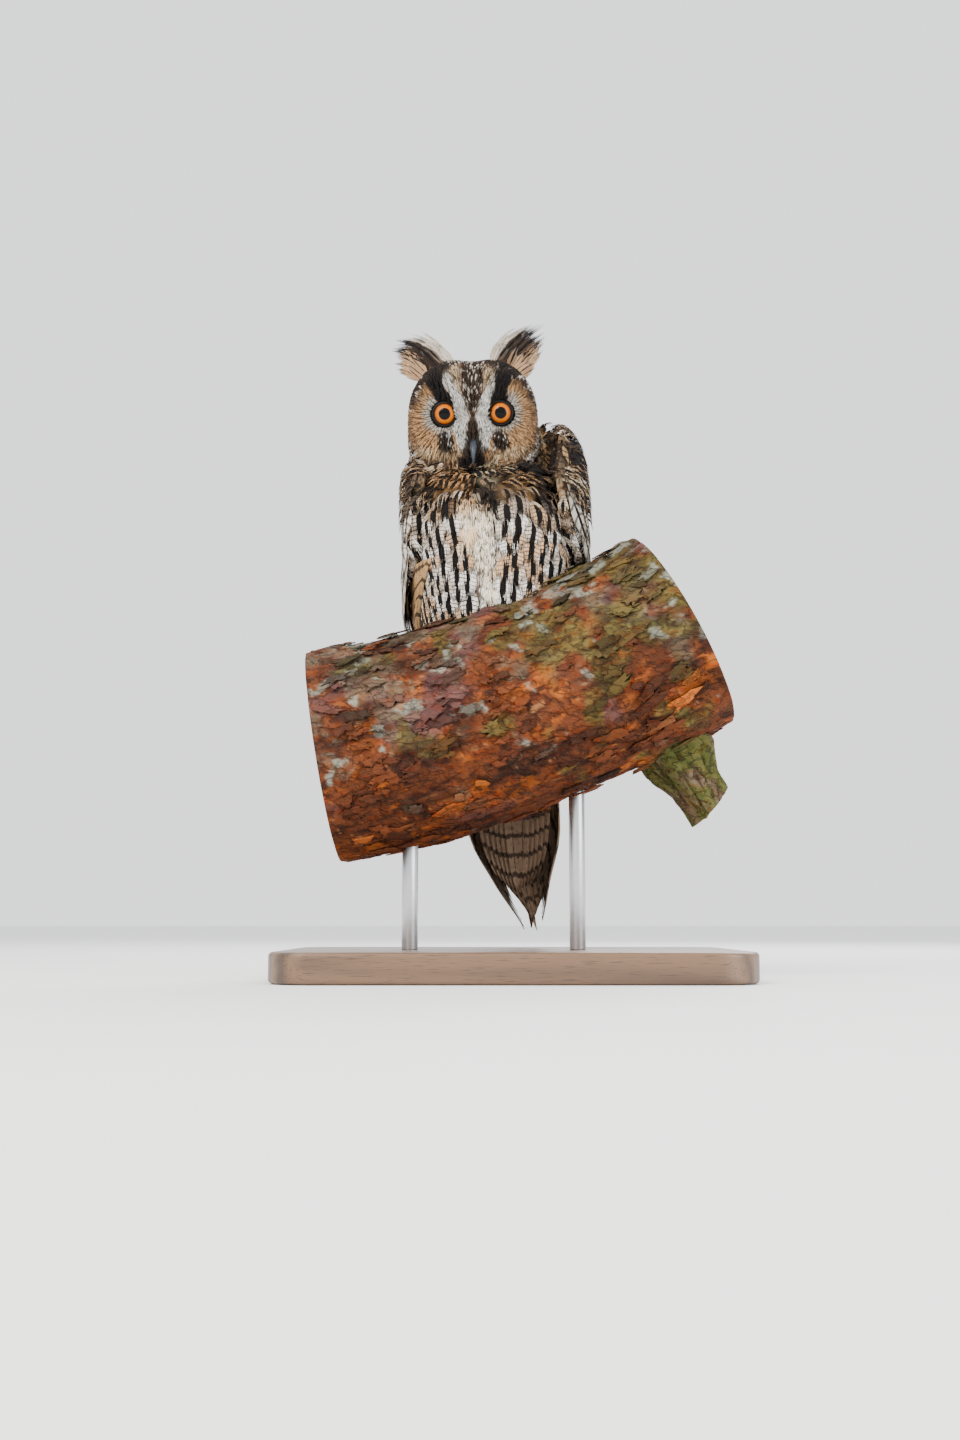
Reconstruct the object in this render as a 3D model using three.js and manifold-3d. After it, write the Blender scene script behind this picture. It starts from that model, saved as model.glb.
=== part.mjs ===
// A life-size long-eared owl, upright on a short cut length of pine branch, on a plain display stand.
// Millimetres, +Z up. The owl faces -Y, its own left wing lies towards +X, and the origin is the middle
// of the stand's underside. Body shapes are worked out about the middle of the perch and then moved there.
import * as THREE from "three";
import { mergeVertices } from "three/addons/utils/BufferGeometryUtils.js";
import Module from "manifold-3d";

const wasm = await Module();
wasm.setup();
const V = (x, y, z) => new THREE.Vector3(x, y, z);
const DEG = Math.PI / 180;

// Driving dimensions
const GAP = 0.3; // left between touching pieces
const PERCH_TO_ORIGIN = V(-13, -18, 0); // the base is centred under the owl and its tail
const BASE = { width: 284, depth: 216, height: 18, corner: 26, edge: 2.5 };
const ROD_RADIUS = 5;
const ROD_X = { right: -50, left: 54 }; // one rod on each side of the hanging tail
const PERCH = {
  radius: 66, xLow: -104, xHigh: 120, // the cut ends
  height: 164.3, slope: 0.345, bend: 0.00085, // the height of its middle line, as a curve over x
  bark: 1.1, // how far the plates of bark stand out and in
};
const STUB = { x: 83, radius: 16, length: 62, lean: V(0.52, 0.12, -0.85) };
const BODY_YAW = -7 * DEG; // the breast turns a little to the owl's right
const HEAD = { centre: V(-11, -3, 352), pitch: 15 * DEG, roll: -1.2 * DEG };
const EYE = { x: 17.6, y: -16.5, z: 6.2, radius: 9.6, opening: 7.5, lid: 1.15 };
const BILL = { root: 5.2, tip: 0.45 };
const VANE = { edge: 0.27, middle: 0.4 }; // half of a vane's thickness at its edges and along its shaft
const NECK_TOP = 334;
const NECK_BASE = 303; // the height of the cut between neck and torso
const BODY_SIDES = 28;
const TAIL_ROOT = 186; // the height of the cut between rump and tail

// Shape helpers
// A closed body through rings of points, all with the same even count. Each end is closed by a strip that
// runs between the ring's first half and its second, so a ring may be long and bent. The two halves of a
// thin ring lie back to back, and their faces are split along matching diagonals, so that they can't cross.
function loft(rings) {
  const count = rings[0].length;
  const faces = [];
  const quad = (a, b, c, d) => faces.push(a, b, c, a, c, d);
  for (let i = 0; i + 1 < rings.length; i++) {
    for (let j = 0; j < count; j++) {
      const a = i * count + j;
      const b = i * count + ((j + 1) % count);
      if (j < count / 2) quad(a, b, b + count, a + count);
      else quad(b, b + count, a + count, a);
    }
  }
  const top = (rings.length - 1) * count;
  for (let j = 0; j + 1 < count / 2; j++) {
    const k = count - 1 - j;
    quad(j, k, k - 1, j + 1);
    quad(top + j, top + j + 1, top + k - 1, top + k);
  }
  return new THREE.BufferGeometry().setFromPoints(rings.flat()).setIndex(faces);
}

// A geometry as a solid, turned the right way out.
function solid(geometry) {
  const bare = geometry.index ? geometry.toNonIndexed() : geometry.clone();
  bare.deleteAttribute("normal");
  bare.deleteAttribute("uv");
  const merged = mergeVertices(bare, 1e-4);
  const vertProperties = merged.attributes.position.array;
  const triVerts = new Uint32Array(merged.index.array);
  const made = new wasm.Manifold(new wasm.Mesh({ numProp: 3, vertProperties, triVerts }));
  if (made.volume() > 0) return made;
  for (let i = 0; i < triVerts.length; i += 3) {
    [triVerts[i + 1], triVerts[i + 2]] = [triVerts[i + 2], triVerts[i + 1]];
  }
  return new wasm.Manifold(new wasm.Mesh({ numProp: 3, vertProperties, triVerts }));
}

const join = (solids) => solids.reduce((sum, s) => sum.add(s));

// The largest closed surface of a solid, which drops loose scraps and sealed hollows.
function largest(made) {
  const bodies = made.decompose();
  return bodies.reduce((best, b) => (b.volume() > best.volume() ? b : best));
}

function geometryOf(made) {
  const mesh = largest(made).getMesh();
  const position = new THREE.BufferAttribute(new Float32Array(mesh.vertProperties), 3);
  return new THREE.BufferGeometry().setAttribute("position", position)
    .setIndex(new THREE.BufferAttribute(mesh.triVerts, 1));
}

const mix = (a, b, t) => a + (b - a) * t;
const bump = (x, width) => Math.exp(-((x / width) ** 2));
const smooth = (low, high, x) => THREE.MathUtils.smoothstep(x, low, high);
const curve = (points) => new THREE.CatmullRomCurve3(points.map((p) => V(...p)), false, "catmullrom", 0.5);

// The smooth curve from b to c with a before and d after them.
function through(a, b, c, d, t) {
  return b + 0.5 * t * (c - a + t * (2 * a - 5 * b + 4 * c - d + t * (3 * (b - c) + d - a)));
}

// The same value on every run for the same seed, from 0 to 1.
function draw(seed) {
  const s = Math.sin(seed * 12.9898 + 4.137) * 43758.5453;
  return s - Math.floor(s);
}

// Turns a point of the body about the upright axis through the perch, as far as the breast is turned.
function turned(p) {
  return p.applyAxisAngle(V(0, 0, 1), BODY_YAW);
}

// The point of a sheet at u across and v along, raised by h outwards.
function raised(sheet, u, v, h) {
  const step = 0.01;
  const low = Math.max(0, v - step);
  const high = Math.min(1, v + step);
  const across = sheet.on(u + step, v).sub(sheet.on(u - step, v));
  const along = sheet.on(u, high).sub(sheet.on(u, low));
  const out = across.cross(along).normalize();
  return sheet.on(u, v).addScaledVector(out, h);
}

// A curved sheet between a front line, a middle line and a back line, all running from root to tip.
class Sheet {
  constructor(front, middle, back, side = 1) {
    this.lines = [front, middle, back].map(curve);
    this.side = side;
  }

  // The point at u across and v along, on the smooth arc through the three lines.
  on(u, v) {
    const [f, m, b] = this.lines.map((line) => line.getPoint(THREE.MathUtils.clamp(v, 0, 1)));
    return f.multiplyScalar((1 - u) * (1 - 2 * u))
      .add(m.multiplyScalar(4 * u * (1 - u)))
      .add(b.multiplyScalar(u * (2 * u - 1)));
  }

  at(u, v, h) {
    return raised(this, u, v, h * this.side);
  }
}

// A plate of a sheet, from low to high in u, v and h.
function block(sheet, [u0, u1], [v0, v1], [h0, h1], across, along) {
  const rings = [];
  for (let i = 0; i <= along; i++) {
    const v = mix(v0, v1, i / along);
    const outer = [];
    const inner = [];
    for (let j = 0; j <= across; j++) {
      const u = mix(u0, u1, j / across);
      outer.push(sheet.at(u, v, h1));
      inner.unshift(sheet.at(u, v, h0));
    }
    rings.push([...outer, ...inner]);
  }
  return solid(loft(rings));
}

// One feather as a closed thin vane on a sheet. It runs from (u0, v0) to (u1, v1), and its half width in u
// follows a rounded outline. h0 and h1 are the heights of its shaft at root and tip, and tilt lifts its edge
// on the high side of u over its neighbour, by as much as it lowers the other edge.
function vane(sheet, { u0, v0, u1, v1, half, h0, h1, tilt, parts, point = 0.6 }) {
  const rings = [];
  for (let i = 0; i <= parts; i++) {
    const t = i / parts;
    const rounded = Math.sqrt(1 - Math.max(0, (t - point) / (1.01 - point)) ** 2);
    const w = half * mix(0.6, 1, smooth(0, 0.4, t)) * rounded;
    const place = (s, lift) => sheet.at(mix(u0, u1, t) + s * w, mix(v0, v1, t), mix(h0, h1, t) + s * tilt + lift);
    rings.push([
      place(-1, VANE.edge), place(0, VANE.middle), place(1, VANE.edge),
      place(1, -VANE.edge), place(0, -VANE.middle), place(-1, -VANE.edge),
    ]);
  }
  return solid(loft(rings));
}

// A row of feathers: shape gives each one's sizes from its place in the row, from 0 to 1, and its number.
function tier(sheet, count, shape) {
  return Array.from({ length: count }, (_, i) => vane(sheet, shape(i / (count - 1), i)));
}

// The perch, its side stub and the stand
const perchHeight = (x) => PERCH.height + PERCH.slope * x + PERCH.bend * x * x;

// A point on the perch at x along it: angle is from its top towards the front, r from its middle line.
function onPerch(x, angle, r) {
  const rise = PERCH.slope + 2 * PERCH.bend * x;
  const up = V(-rise, 0, 1).normalize();
  const middle = V(x, 0, perchHeight(x));
  return middle.addScaledVector(up, r * Math.cos(angle)).addScaledVector(V(0, -1, 0), r * Math.sin(angle));
}

function perchSolid(grow, bark = PERCH.bark, sides = 24, lengths = 12) {
  const rings = [];
  for (let i = 0; i <= lengths; i++) {
    const x = mix(PERCH.xLow - grow, PERCH.xHigh + grow, i / lengths);
    const ring = [];
    for (let j = 0; j < sides; j++) {
      const angle = (j / sides) * 2 * Math.PI;
      const plate = Math.sin(angle * 3 + x * 0.05) * 0.6 + (draw(i * 31 + j * 7) - 0.5) * 1.4;
      ring.push(onPerch(x, angle, PERCH.radius + grow + bark * plate));
    }
    rings.push(ring);
  }
  return solid(loft(rings));
}

function stubSolid() {
  const from = V(STUB.x, 0, perchHeight(STUB.x));
  const lean = STUB.lean.clone().normalize();
  const side = V(0, 1, 0).cross(lean).normalize();
  const back = lean.clone().cross(side);
  const reach = PERCH.radius + STUB.length - 20;
  const rings = [0.35, 0.62, 0.72, 0.86, 1].map((t, i) => {
    const flare = i < 3 ? mix(1.45, 1.08, i / 2) : 1;
    return Array.from({ length: 12 }, (_, j) => {
      const angle = (j / 12) * 2 * Math.PI;
      const r = STUB.radius * flare * (1 + 0.07 * (draw(i * 5 + j) - 0.5));
      const slant = i === 4 ? 5 * Math.cos(angle) : 0; // the cut end is a little askew
      return from.clone().addScaledVector(lean, reach * t + slant)
        .addScaledVector(side, r * Math.cos(angle)).addScaledVector(back, r * Math.sin(angle));
    });
  });
  return solid(loft(rings));
}

function baseSolid() {
  const outline = new THREE.Shape();
  const w = BASE.width / 2 - BASE.edge;
  const d = BASE.depth / 2 - BASE.edge;
  const r = BASE.corner - BASE.edge;
  outline.moveTo(-w + r, -d).lineTo(w - r, -d).absarc(w - r, -d + r, r, -Math.PI / 2, 0, false);
  outline.lineTo(w, d - r).absarc(w - r, d - r, r, 0, Math.PI / 2, false);
  outline.lineTo(-w + r, d).absarc(-w + r, d - r, r, Math.PI / 2, Math.PI, false);
  outline.lineTo(-w, -d + r).absarc(-w + r, -d + r, r, Math.PI, 1.5 * Math.PI, false);
  const made = new THREE.ExtrudeGeometry(outline, {
    depth: BASE.height - 2 * BASE.edge, curveSegments: 4,
    bevelSize: BASE.edge, bevelThickness: BASE.edge, bevelSegments: 1,
  });
  return solid(made.translate(-PERCH_TO_ORIGIN.x, -PERCH_TO_ORIGIN.y, BASE.edge));
}

function rodSolid(x) {
  const top = perchHeight(x);
  const length = top - BASE.height - GAP;
  const rod = new THREE.CylinderGeometry(ROD_RADIUS, ROD_RADIUS, length, 20);
  rod.rotateX(Math.PI / 2).translate(x, 0, BASE.height + GAP + length / 2);
  return solid(rod).subtract(perchSolid(GAP));
}

// Shapes that wrap round the body are worked out from stations down its height.
class Wrap {
  constructor(stations, power) {
    this.stations = stations;
    this.power = 2 / power;
  }

  // The station at height z, on a smooth curve through the listed ones.
  row(z) {
    const rows = this.stations;
    const last = rows.length - 1;
    const found = rows.findIndex((s, k) => k < last && z <= s.z && z >= rows[k + 1].z);
    const i = found < 0 ? (z > rows[0].z ? 0 : last - 1) : found;
    const t = THREE.MathUtils.clamp((rows[i].z - z) / (rows[i].z - rows[i + 1].z), -1, 2);
    const at = (k, key) => rows[THREE.MathUtils.clamp(k, 0, last)][key];
    const value = (key) => through(at(i - 1, key), at(i, key), at(i + 1, key), at(i + 2, key), t);
    return { x: value("x"), half: value("half"), front: value("front"), back: value("back") };
  }

  // The point at an angle from the owl's left side towards its back, at height z, h outside the surface.
  at(angle, z, h) {
    const { x, half, front, back } = this.row(z);
    const part = (value) => Math.sign(value) * Math.abs(value) ** this.power;
    const across = part(Math.cos(angle)) * (half + h);
    const depth = part(Math.sin(angle)) * ((back - front) / 2 + h);
    return turned(V(x + across, (front + back) / 2 + depth, z));
  }

  solid(top, bottom, grow, steps, sides) {
    const rings = [];
    for (let i = 0; i <= steps; i++) {
      const z = mix(top, bottom, i / steps);
      rings.push(Array.from({ length: sides }, (_, j) => this.at((j / sides) * 2 * Math.PI, z, grow)));
    }
    return solid(loft(rings));
  }
}

const BODY = new Wrap([
  { z: 334, x: -8, half: 31, front: -12, back: 30 },
  { z: 318, x: -4, half: 41, front: -26, back: 42 },
  { z: 303, x: -1, half: 48, front: -38, back: 52 },
  { z: 282, x: 1, half: 51, front: -44, back: 62 },
  { z: 262, x: 2, half: 52, front: -41, back: 71 },
  { z: 243, x: 2, half: 50, front: -37, back: 78 },
  { z: 228, x: 1, half: 48, front: -33, back: 83 },
  { z: 214, x: 0, half: 44, front: -22, back: 86 },
  { z: 202, x: 0, half: 37, front: 24, back: 89 },
  { z: 190, x: 0, half: 29, front: 64, back: 92 },
  { z: 176, x: 0, half: 25, front: 72, back: 93 },
], 2.35);

// The folded wings lie on the body's sides and carry on past it as one narrowing sheath round the tail.
const FOLD = new Wrap([
  { z: 350, x: -1, half: 41, front: -20, back: 44 },
  { z: 333, x: 0, half: 48, front: -34, back: 50 },
  { z: 313, x: 0.5, half: 51, front: -44, back: 56 },
  { z: 290, x: 1.5, half: 52.5, front: -48, back: 64 },
  { z: 262, x: 2, half: 53, front: -46, back: 74 },
  { z: 243, x: 1.5, half: 54, front: -34, back: 82 },
  { z: 222, x: 1, half: 53, front: -6, back: 89 },
  { z: 200, x: 0.5, half: 44, front: 44, back: 94 },
  { z: 178, x: 1, half: 33, front: 74, back: 97 },
  { z: 150, x: 3, half: 32, front: 79, back: 99 },
  { z: 120, x: 4, half: 31, front: 82, back: 102 },
  { z: 92, x: 5.5, half: 29.5, front: 85, back: 104 },
  { z: 62, x: 10, half: 18, front: 91, back: 106 },
  { z: 30, x: 17, half: 7, front: 100, back: 108 },
], 2.2);

// The head. Its surface is a rounded box, flat in front, with a dish round each eye, a raised rim round the
// whole facial disc, and a ridge from the crown down to the bill.
const DISC = { x: 39.5, up: 37, down: 37, middle: -1 };

function headPoint(around, away, grow) {
  const d = V(Math.sin(away) * Math.cos(around), -Math.cos(away), Math.sin(away) * Math.sin(around));
  const face = smooth(-0.1, 0.75, -d.y);
  const p = mix(2.15, 2.9, face);
  const size = V(41, d.y < 0 ? 28 : 42, d.z > 0 ? 43.5 : 41);
  const r = (Math.abs(d.x / size.x) ** p + Math.abs(d.y / size.y) ** p + Math.abs(d.z / size.z) ** p) ** (-1 / p);
  const q = d.multiplyScalar(r + grow);
  const toEye = Math.hypot(Math.abs(q.x) - EYE.x, q.z - EYE.z);
  const inDisc = Math.hypot(q.x / DISC.x, (q.z - DISC.middle) / (q.z > DISC.middle ? DISC.up : DISC.down));
  const dish = 4.6 * bump(toEye, 14.5) + 2.0 * bump(toEye - 18, 9);
  const ridge = 5.4 * bump(q.x, 6.2) * smooth(-34, -20, q.z) * (1 - smooth(18, 40, q.z));
  const rim = 2.6 * bump(inDisc - 0.98, 0.09);
  const brow = 2.2 * bump(Math.abs(q.x) - 10 - 0.45 * (q.z - 8), 5) * smooth(4, 12, q.z) * (1 - smooth(26, 36, q.z));
  q.y += face * (dish - ridge - rim - brow);
  return q;
}

function placedOnHead(p) {
  return p.applyAxisAngle(V(0, 1, 0), HEAD.roll).applyAxisAngle(V(1, 0, 0), HEAD.pitch).add(HEAD.centre);
}

function headShell(grow, around = 32, away = 18) {
  const rings = [];
  for (let i = 1; i < away; i++) {
    const t = i / away;
    const angle = Math.PI * mix(t, t * t, 0.22); // closer rings over the face
    rings.push(Array.from({ length: around }, (_, j) => placedOnHead(headPoint((j / around) * 2 * Math.PI, angle, grow))));
  }
  return solid(loft(rings));
}

function eyeBall(side, grow = 0, around = 24, down = 16) {
  const ball = new THREE.SphereGeometry(EYE.radius + grow, around, down).rotateX(Math.PI / 2);
  const middle = placedOnHead(V(side * EYE.x, EYE.y, EYE.z));
  return solid(ball.translate(middle.x, middle.y, middle.z));
}

// The ring of bare lid round an eye.
function lidRing(side) {
  const depth = Math.sqrt(EYE.radius ** 2 - EYE.opening ** 2);
  const ring = new THREE.TorusGeometry(EYE.opening + 0.35, EYE.lid, 5, 14).rotateX(Math.PI / 2);
  ring.scale(1, 0.9, 1).translate(side * EYE.x, EYE.y - depth - 0.6, EYE.z);
  const at = ring.attributes.position;
  for (let i = 0; i < at.count; i++) {
    const p = placedOnHead(V(at.getX(i), at.getY(i), at.getZ(i)));
    at.setXYZ(i, p.x, p.y, p.z);
  }
  return solid(ring);
}

// The bill: a hooked horn that leaves the face forwards and turns down, as rings along an arc.
const BILL_LINE = curve([[0, -24, -7], [0, -34, -9.5], [0, -39.6, -14.5], [0, -41, -20.5], [0, -39.4, -25.5]]);
const LOWER_LINE = curve([[0, -24, -15], [0, -31, -16.5], [0, -34.8, -19.5], [0, -36, -23]]);

function hornSolid(line, root, tip, flat, grow, parts = 7, sides = 10) {
  const rings = [];
  for (let i = 0; i <= parts; i++) {
    const t = i / parts;
    const middle = line.getPoint(t);
    const along = line.getTangent(t);
    const down = along.clone().cross(V(1, 0, 0)).normalize();
    const r = mix(root, tip, t ** 1.35) + grow;
    rings.push(Array.from({ length: sides }, (_, j) => {
      const angle = (j / sides) * 2 * Math.PI;
      const p = middle.clone().add(V(r * 0.8 * Math.cos(angle), 0, 0)).addScaledVector(down, r * flat * Math.sin(angle));
      return placedOnHead(p);
    }));
  }
  return solid(loft(rings));
}

const upperBill = (grow) => hornSolid(BILL_LINE, BILL.root, BILL.tip, 0.95, grow);
const lowerBill = (grow) => hornSolid(LOWER_LINE, 3.9, 0.6, 0.8, grow, 5, 8);

function nostril(side) {
  const hole = new THREE.SphereGeometry(1.15, 7, 5);
  const p = placedOnHead(V(side * 3.6, -33.4, -10.2));
  return solid(hole.translate(p.x, p.y, p.z));
}

// Wings. Each folded wing is a sheet from shoulder to tip, given by the angles of its front and back edges
// round the body at falling heights. Its feathers lie on it in tiers.
class FoldedWing {
  constructor(side, hold, rows) {
    this.side = side;
    this.hold = hold; // how far the shoulder is held out from the body
    this.rows = rows;
  }

  // The point at u from the front edge to the back, and v from the shoulder down to the tip.
  on(u, v) {
    const last = this.rows.length - 1;
    const place = THREE.MathUtils.clamp(v, 0, 1) * last;
    const i = Math.min(Math.floor(place), last - 1);
    const at = (k) => this.rows[THREE.MathUtils.clamp(k, 0, last)];
    const value = (n) => through(at(i - 1)[n], at(i)[n], at(i + 1)[n], at(i + 2)[n], place - i);
    const angle = mix(value(1), value(2), u) * DEG;
    const p = FOLD.at(this.side > 0 ? angle : Math.PI - angle, value(0), 0);
    return p.add(V(this.side * this.hold * (1 - smooth(0.05, 0.42, v)), 0, 0));
  }

  at(u, v, h) {
    return raised(this, u, v, -h * this.side);
  }
}

const WINGS = {
  left: new FoldedWing(1, 4, [
    [351, -6, 20], [325, -36, 60], [297, -34, 74], [266, -12, 81], [236, 22, 85], [204, 18, 87],
    [172, 2, 88], [140, -4, 88], [108, -6, 88], [76, -8, 88], [50, 4, 88], [36, 30, 84],
  ]),
  right: new FoldedWing(-1, 0, [
    [345, -6, 20], [320, -36, 60], [293, -34, 74], [262, -30, 81], [232, -14, 85], [200, 0, 87],
    [168, -2, 88], [136, -6, 88], [105, -8, 88], [74, -8, 88], [48, 0, 88], [30, 30, 84],
  ]),
};
const ARM_END = 0.3; // how far down the sheet the solid arm reaches
const FLIGHT = ARM_END + 0.0015; // where the flight feathers start, just clear of the arm

// The arm, with the long coverts past its end and the scapulars over its back edge.
function wingCoverts(wing) {
  const arm = block(wing, [0.0, 1.0], [0.0, ARM_END], [-5, 6], 8, 5);
  const coverts = tier(wing, 7, (s, i) => ({
    u0: mix(0.08, 0.92, s), u1: mix(0.06, 0.9, s), v0: 0.22, v1: 0.4 + 0.015 * draw(i),
    half: 0.092, h0: 6.7, h1: 9.2, tilt: 0.65, parts: 3,
  }));
  const scapulars = tier(wing, 3, (s, i) => ({
    u0: mix(0.72, 0.92, s), u1: mix(0.7, 0.92, s), v0: 0.03, v1: mix(0.3, 0.36, s) + 0.01 * draw(i + 17),
    half: 0.075, h0: 4.4, h1: 9.9, tilt: 0.8, parts: 3,
  }));
  const made = join([arm, ...coverts, ...scapulars]);
  return made.subtract(bodyClear).subtract(headShell(2)).subtract(perchClear);
}

function wingSecondaries(wing) {
  const root = block(wing, [0.04, 0.95], [FLIGHT, FLIGHT + 0.03], [3.4, 4.9], 8, 1);
  return join([root, ...tier(wing, 7, (s, i) => ({
    u0: mix(0.12, 0.87, s), u1: mix(0.15, 0.83, s), v0: FLIGHT + 0.008, v1: mix(0.66, 0.6, s) + 0.01 * draw(i + 20),
    half: 0.09, h0: 4.7, h1: 5.6, tilt: 0.65, parts: 4,
  }))]).subtract(perchClear);
}

// The outermost primary, at the front edge, is the longest.
function wingPrimaries(wing) {
  const root = block(wing, [0.04, 0.95], [FLIGHT, FLIGHT + 0.03], [0.5, 2.1], 8, 1);
  return join([root, ...tier(wing, 6, (s, i) => ({
    u0: mix(0.13, 0.84, s), u1: mix(0.18, 0.8, s), v0: FLIGHT + 0.008, v1: mix(0.998, 0.82, s ** 1.3) - 0.008 * (i % 2),
    half: mix(0.125, 0.1, s), h0: 1.1, h1: 1.1, tilt: 0.75, parts: 5, point: 0.78,
  }))]).subtract(perchClear);
}

// The tail lies inside the sheath of the folded wings.
const TAIL = new Sheet(...[
  [[-14, 79, 186], [-20, 82, 158], [-23, 84, 126], [-20, 88, 94], [-8, 94, 57]],
  [[3, 84, 186], [4, 87, 158], [5, 89, 126], [6, 93, 94], [8, 98, 57]],
  [[20, 79, 186], [28, 82, 158], [33, 84, 126], [32, 88, 94], [24, 94, 57]],
].map((line) => line.map((p) => turned(V(...p)).toArray())));

const TAIL_PAIRS = 6;

// Each feather lies under the next one towards the middle, and one of the middle pair on the other.
function tailSolid() {
  const feathers = [];
  for (let i = 0; i < TAIL_PAIRS; i++) {
    for (const side of [-1, 1]) {
      const out = (i + 0.5) / TAIL_PAIRS;
      const top = i === 0 && side > 0 ? 1.2 : 0;
      feathers.push(vane(TAIL, {
        u0: 0.5 + side * 0.38 * out, u1: 0.5 + side * 0.4 * out, v0: 0.02, v1: mix(1, 0.93, out ** 2),
        half: 0.1, h0: top, h1: top, tilt: -side * 1.5, parts: 3, point: 0.8,
      }));
    }
  }
  return join([block(TAIL, [0.08, 0.92], [0.003, 0.06], [-1.2, 1.6], 6, 1), ...feathers]);
}

// Ear tufts: a spoon of long feathers from each corner of the brow.
const TUFTS = {
  left: new Sheet(
    [[1, -9, 395], [10, -3, 409], [36, 9, 424]],
    [[8, -15, 390], [19, -11, 402], [39, 8, 420]],
    [[16, -12, 384], [27, -6, 396], [38, 9, 411]],
    1,
  ),
  right: new Sheet(
    [[-25, -9, 395], [-39, 1, 411], [-55, 12, 422]],
    [[-33, -15, 389], [-47, -8, 402], [-64, 13, 411]],
    [[-42, -12, 382], [-52, -5, 390], [-61, 14, 398]],
    -1,
  ),
};

function tuftSolid(sheet) {
  const root = block(sheet, [0.04, 0.96], [0, 0.3], [-2.6, 0.6], 5, 2);
  return join([root, ...tier(sheet, 6, (s, i) => ({
    u0: mix(0.15, 0.85, s), u1: mix(0.15, 0.85, s), v0: 0.1, v1: mix(0.86, 1, 1 - Math.abs(2 * s - 1)) - 0.03 * draw(i),
    half: 0.13, h0: -1, h1: -0.6, tilt: 0.9, parts: 3, point: 0.5,
  }))]).subtract(headShell(GAP));
}

// Legs and feet. A toe runs over the perch from the ankle, and its claw carries on from it.
const FEET = {
  left: { x: 40, ankle: -7 * DEG, side: 1 },
  right: { x: 11, ankle: -7 * DEG, side: -1 },
};
const TOES = [
  { name: "inner", spread: -9, reach: 17, claw: 8, size: 4.1 },
  { name: "middle", spread: 1, reach: 19, claw: 9, size: 4.3 },
  { name: "outer", spread: 11, reach: -16, claw: -8, size: 3.9 },
  { name: "hind", spread: -6, reach: -17, claw: -8, size: 3.8 },
];

// A bent tapering horn over the perch, from points given as place along it, angle, height and thickness.
function overPerch(points, sides, grow) {
  const rings = points.map(({ x, angle, height, r }) => {
    const middle = onPerch(x, angle, PERCH.radius + height);
    const up = onPerch(x, angle, PERCH.radius + height + 1).sub(middle);
    return Array.from({ length: sides }, (_, j) => {
      const turn = (j / sides) * 2 * Math.PI;
      return middle.clone().add(V((r + grow) * Math.cos(turn), 0, 0)).addScaledVector(up, (r + grow) * Math.sin(turn));
    });
  });
  return solid(loft(rings));
}

function toeSolid(foot, toe, grow = 0) {
  const points = Array.from({ length: 5 }, (_, i) => {
    const t = i / 4;
    const r = toe.size * (mix(1.1, 0.75, t) + (i % 2 ? 0.06 : -0.04)) * (i === 4 ? 0.7 : 1);
    return { x: foot.x + foot.side * toe.spread * t, angle: foot.ankle + toe.reach * DEG * t, height: toe.size + 1.2, r };
  });
  return overPerch(points, 6, grow);
}

function clawSolid(foot, toe, grow = 0) {
  const points = Array.from({ length: 4 }, (_, i) => {
    const t = i / 3;
    const angle = foot.ankle + (toe.reach * 0.93 + toe.claw * t) * DEG;
    const height = 4.4 + 2.0 * Math.sin(t * 2.2) - 3.0 * t * t;
    return { x: foot.x + foot.side * toe.spread * (0.93 + 0.15 * t), angle, height, r: mix(1.9, 0.4, t ** 0.8) };
  });
  return overPerch(points, 6, grow);
}

function footSolid(foot, grow = 0) {
  const ankle = new THREE.SphereGeometry(6 + grow, 8, 6);
  const at = onPerch(foot.x, foot.ankle, PERCH.radius + 6.9);
  return join([solid(ankle.translate(at.x, at.y, at.z)), ...TOES.map((toe) => toeSolid(foot, toe, grow))]);
}

function legSolid(foot, grow = 0) {
  const low = onPerch(foot.x, foot.ankle, PERCH.radius + 8 - grow);
  const rings = [0, 0.5, 1].map((t) => Array.from({ length: 10 }, (_, j) => {
    const turn = (j / 10) * 2 * Math.PI;
    const r = mix(6.2, 10.5, t) + grow;
    return low.clone().add(V(r * Math.cos(turn), 5 * t + r * Math.sin(turn), (24 + 2 * grow) * t));
  }));
  return solid(loft(rings));
}

// The room that the plumage leaves over a foot.
function footRoom(foot) {
  const room = new THREE.SphereGeometry(1, 12, 8).scale(22, 37, 15);
  const at = onPerch(foot.x, foot.ankle, PERCH.radius);
  return solid(room.rotateY(-Math.atan(PERCH.slope)).translate(at.x, at.y, at.z));
}

// The nodes and their finishes
const FINISH = {
  buff: ["#c9a273", 0.9, 0], breast: ["#b9a389", 0.92, 0], dark: ["#4a3a2e", 0.9, 0],
  wing: ["#7c6a58", 0.9, 0], tail: ["#8d7558", 0.88, 0], amber: ["#e8851b", 0.12, 0],
  horn: ["#23262c", 0.35, 0], foot: ["#c79a63", 0.9, 0], bark: ["#8f5238", 0.95, 0],
  moss: ["#66702c", 0.97, 0], base: ["#3a2a20", 0.55, 0], steel: ["#8d8f92", 0.35, 1],
};
const owl = new THREE.Group();
owl.position.copy(PERCH_TO_ORIGIN);

function add(name, made, finish) {
  const [color, roughness, metalness] = FINISH[finish];
  const mesh = new THREE.Mesh(geometryOf(made), new THREE.MeshStandardMaterial({ color, roughness, metalness }));
  mesh.name = name;
  owl.add(mesh);
}

const perch = perchSolid(0);
const perchClear = perchSolid(GAP);
const bodyClear = BODY.solid(NECK_TOP + 8, TAIL_ROOT, 2 * GAP, 16, BODY_SIDES);
add("perch", perch, "bark");
add("perch_stub", stubSolid().subtract(perchClear), "moss");
add("stand_base", baseSolid(), "base");
for (const [side, x] of Object.entries(ROD_X)) add(`stand_rod_${side}`, rodSolid(x), "steel");

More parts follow.
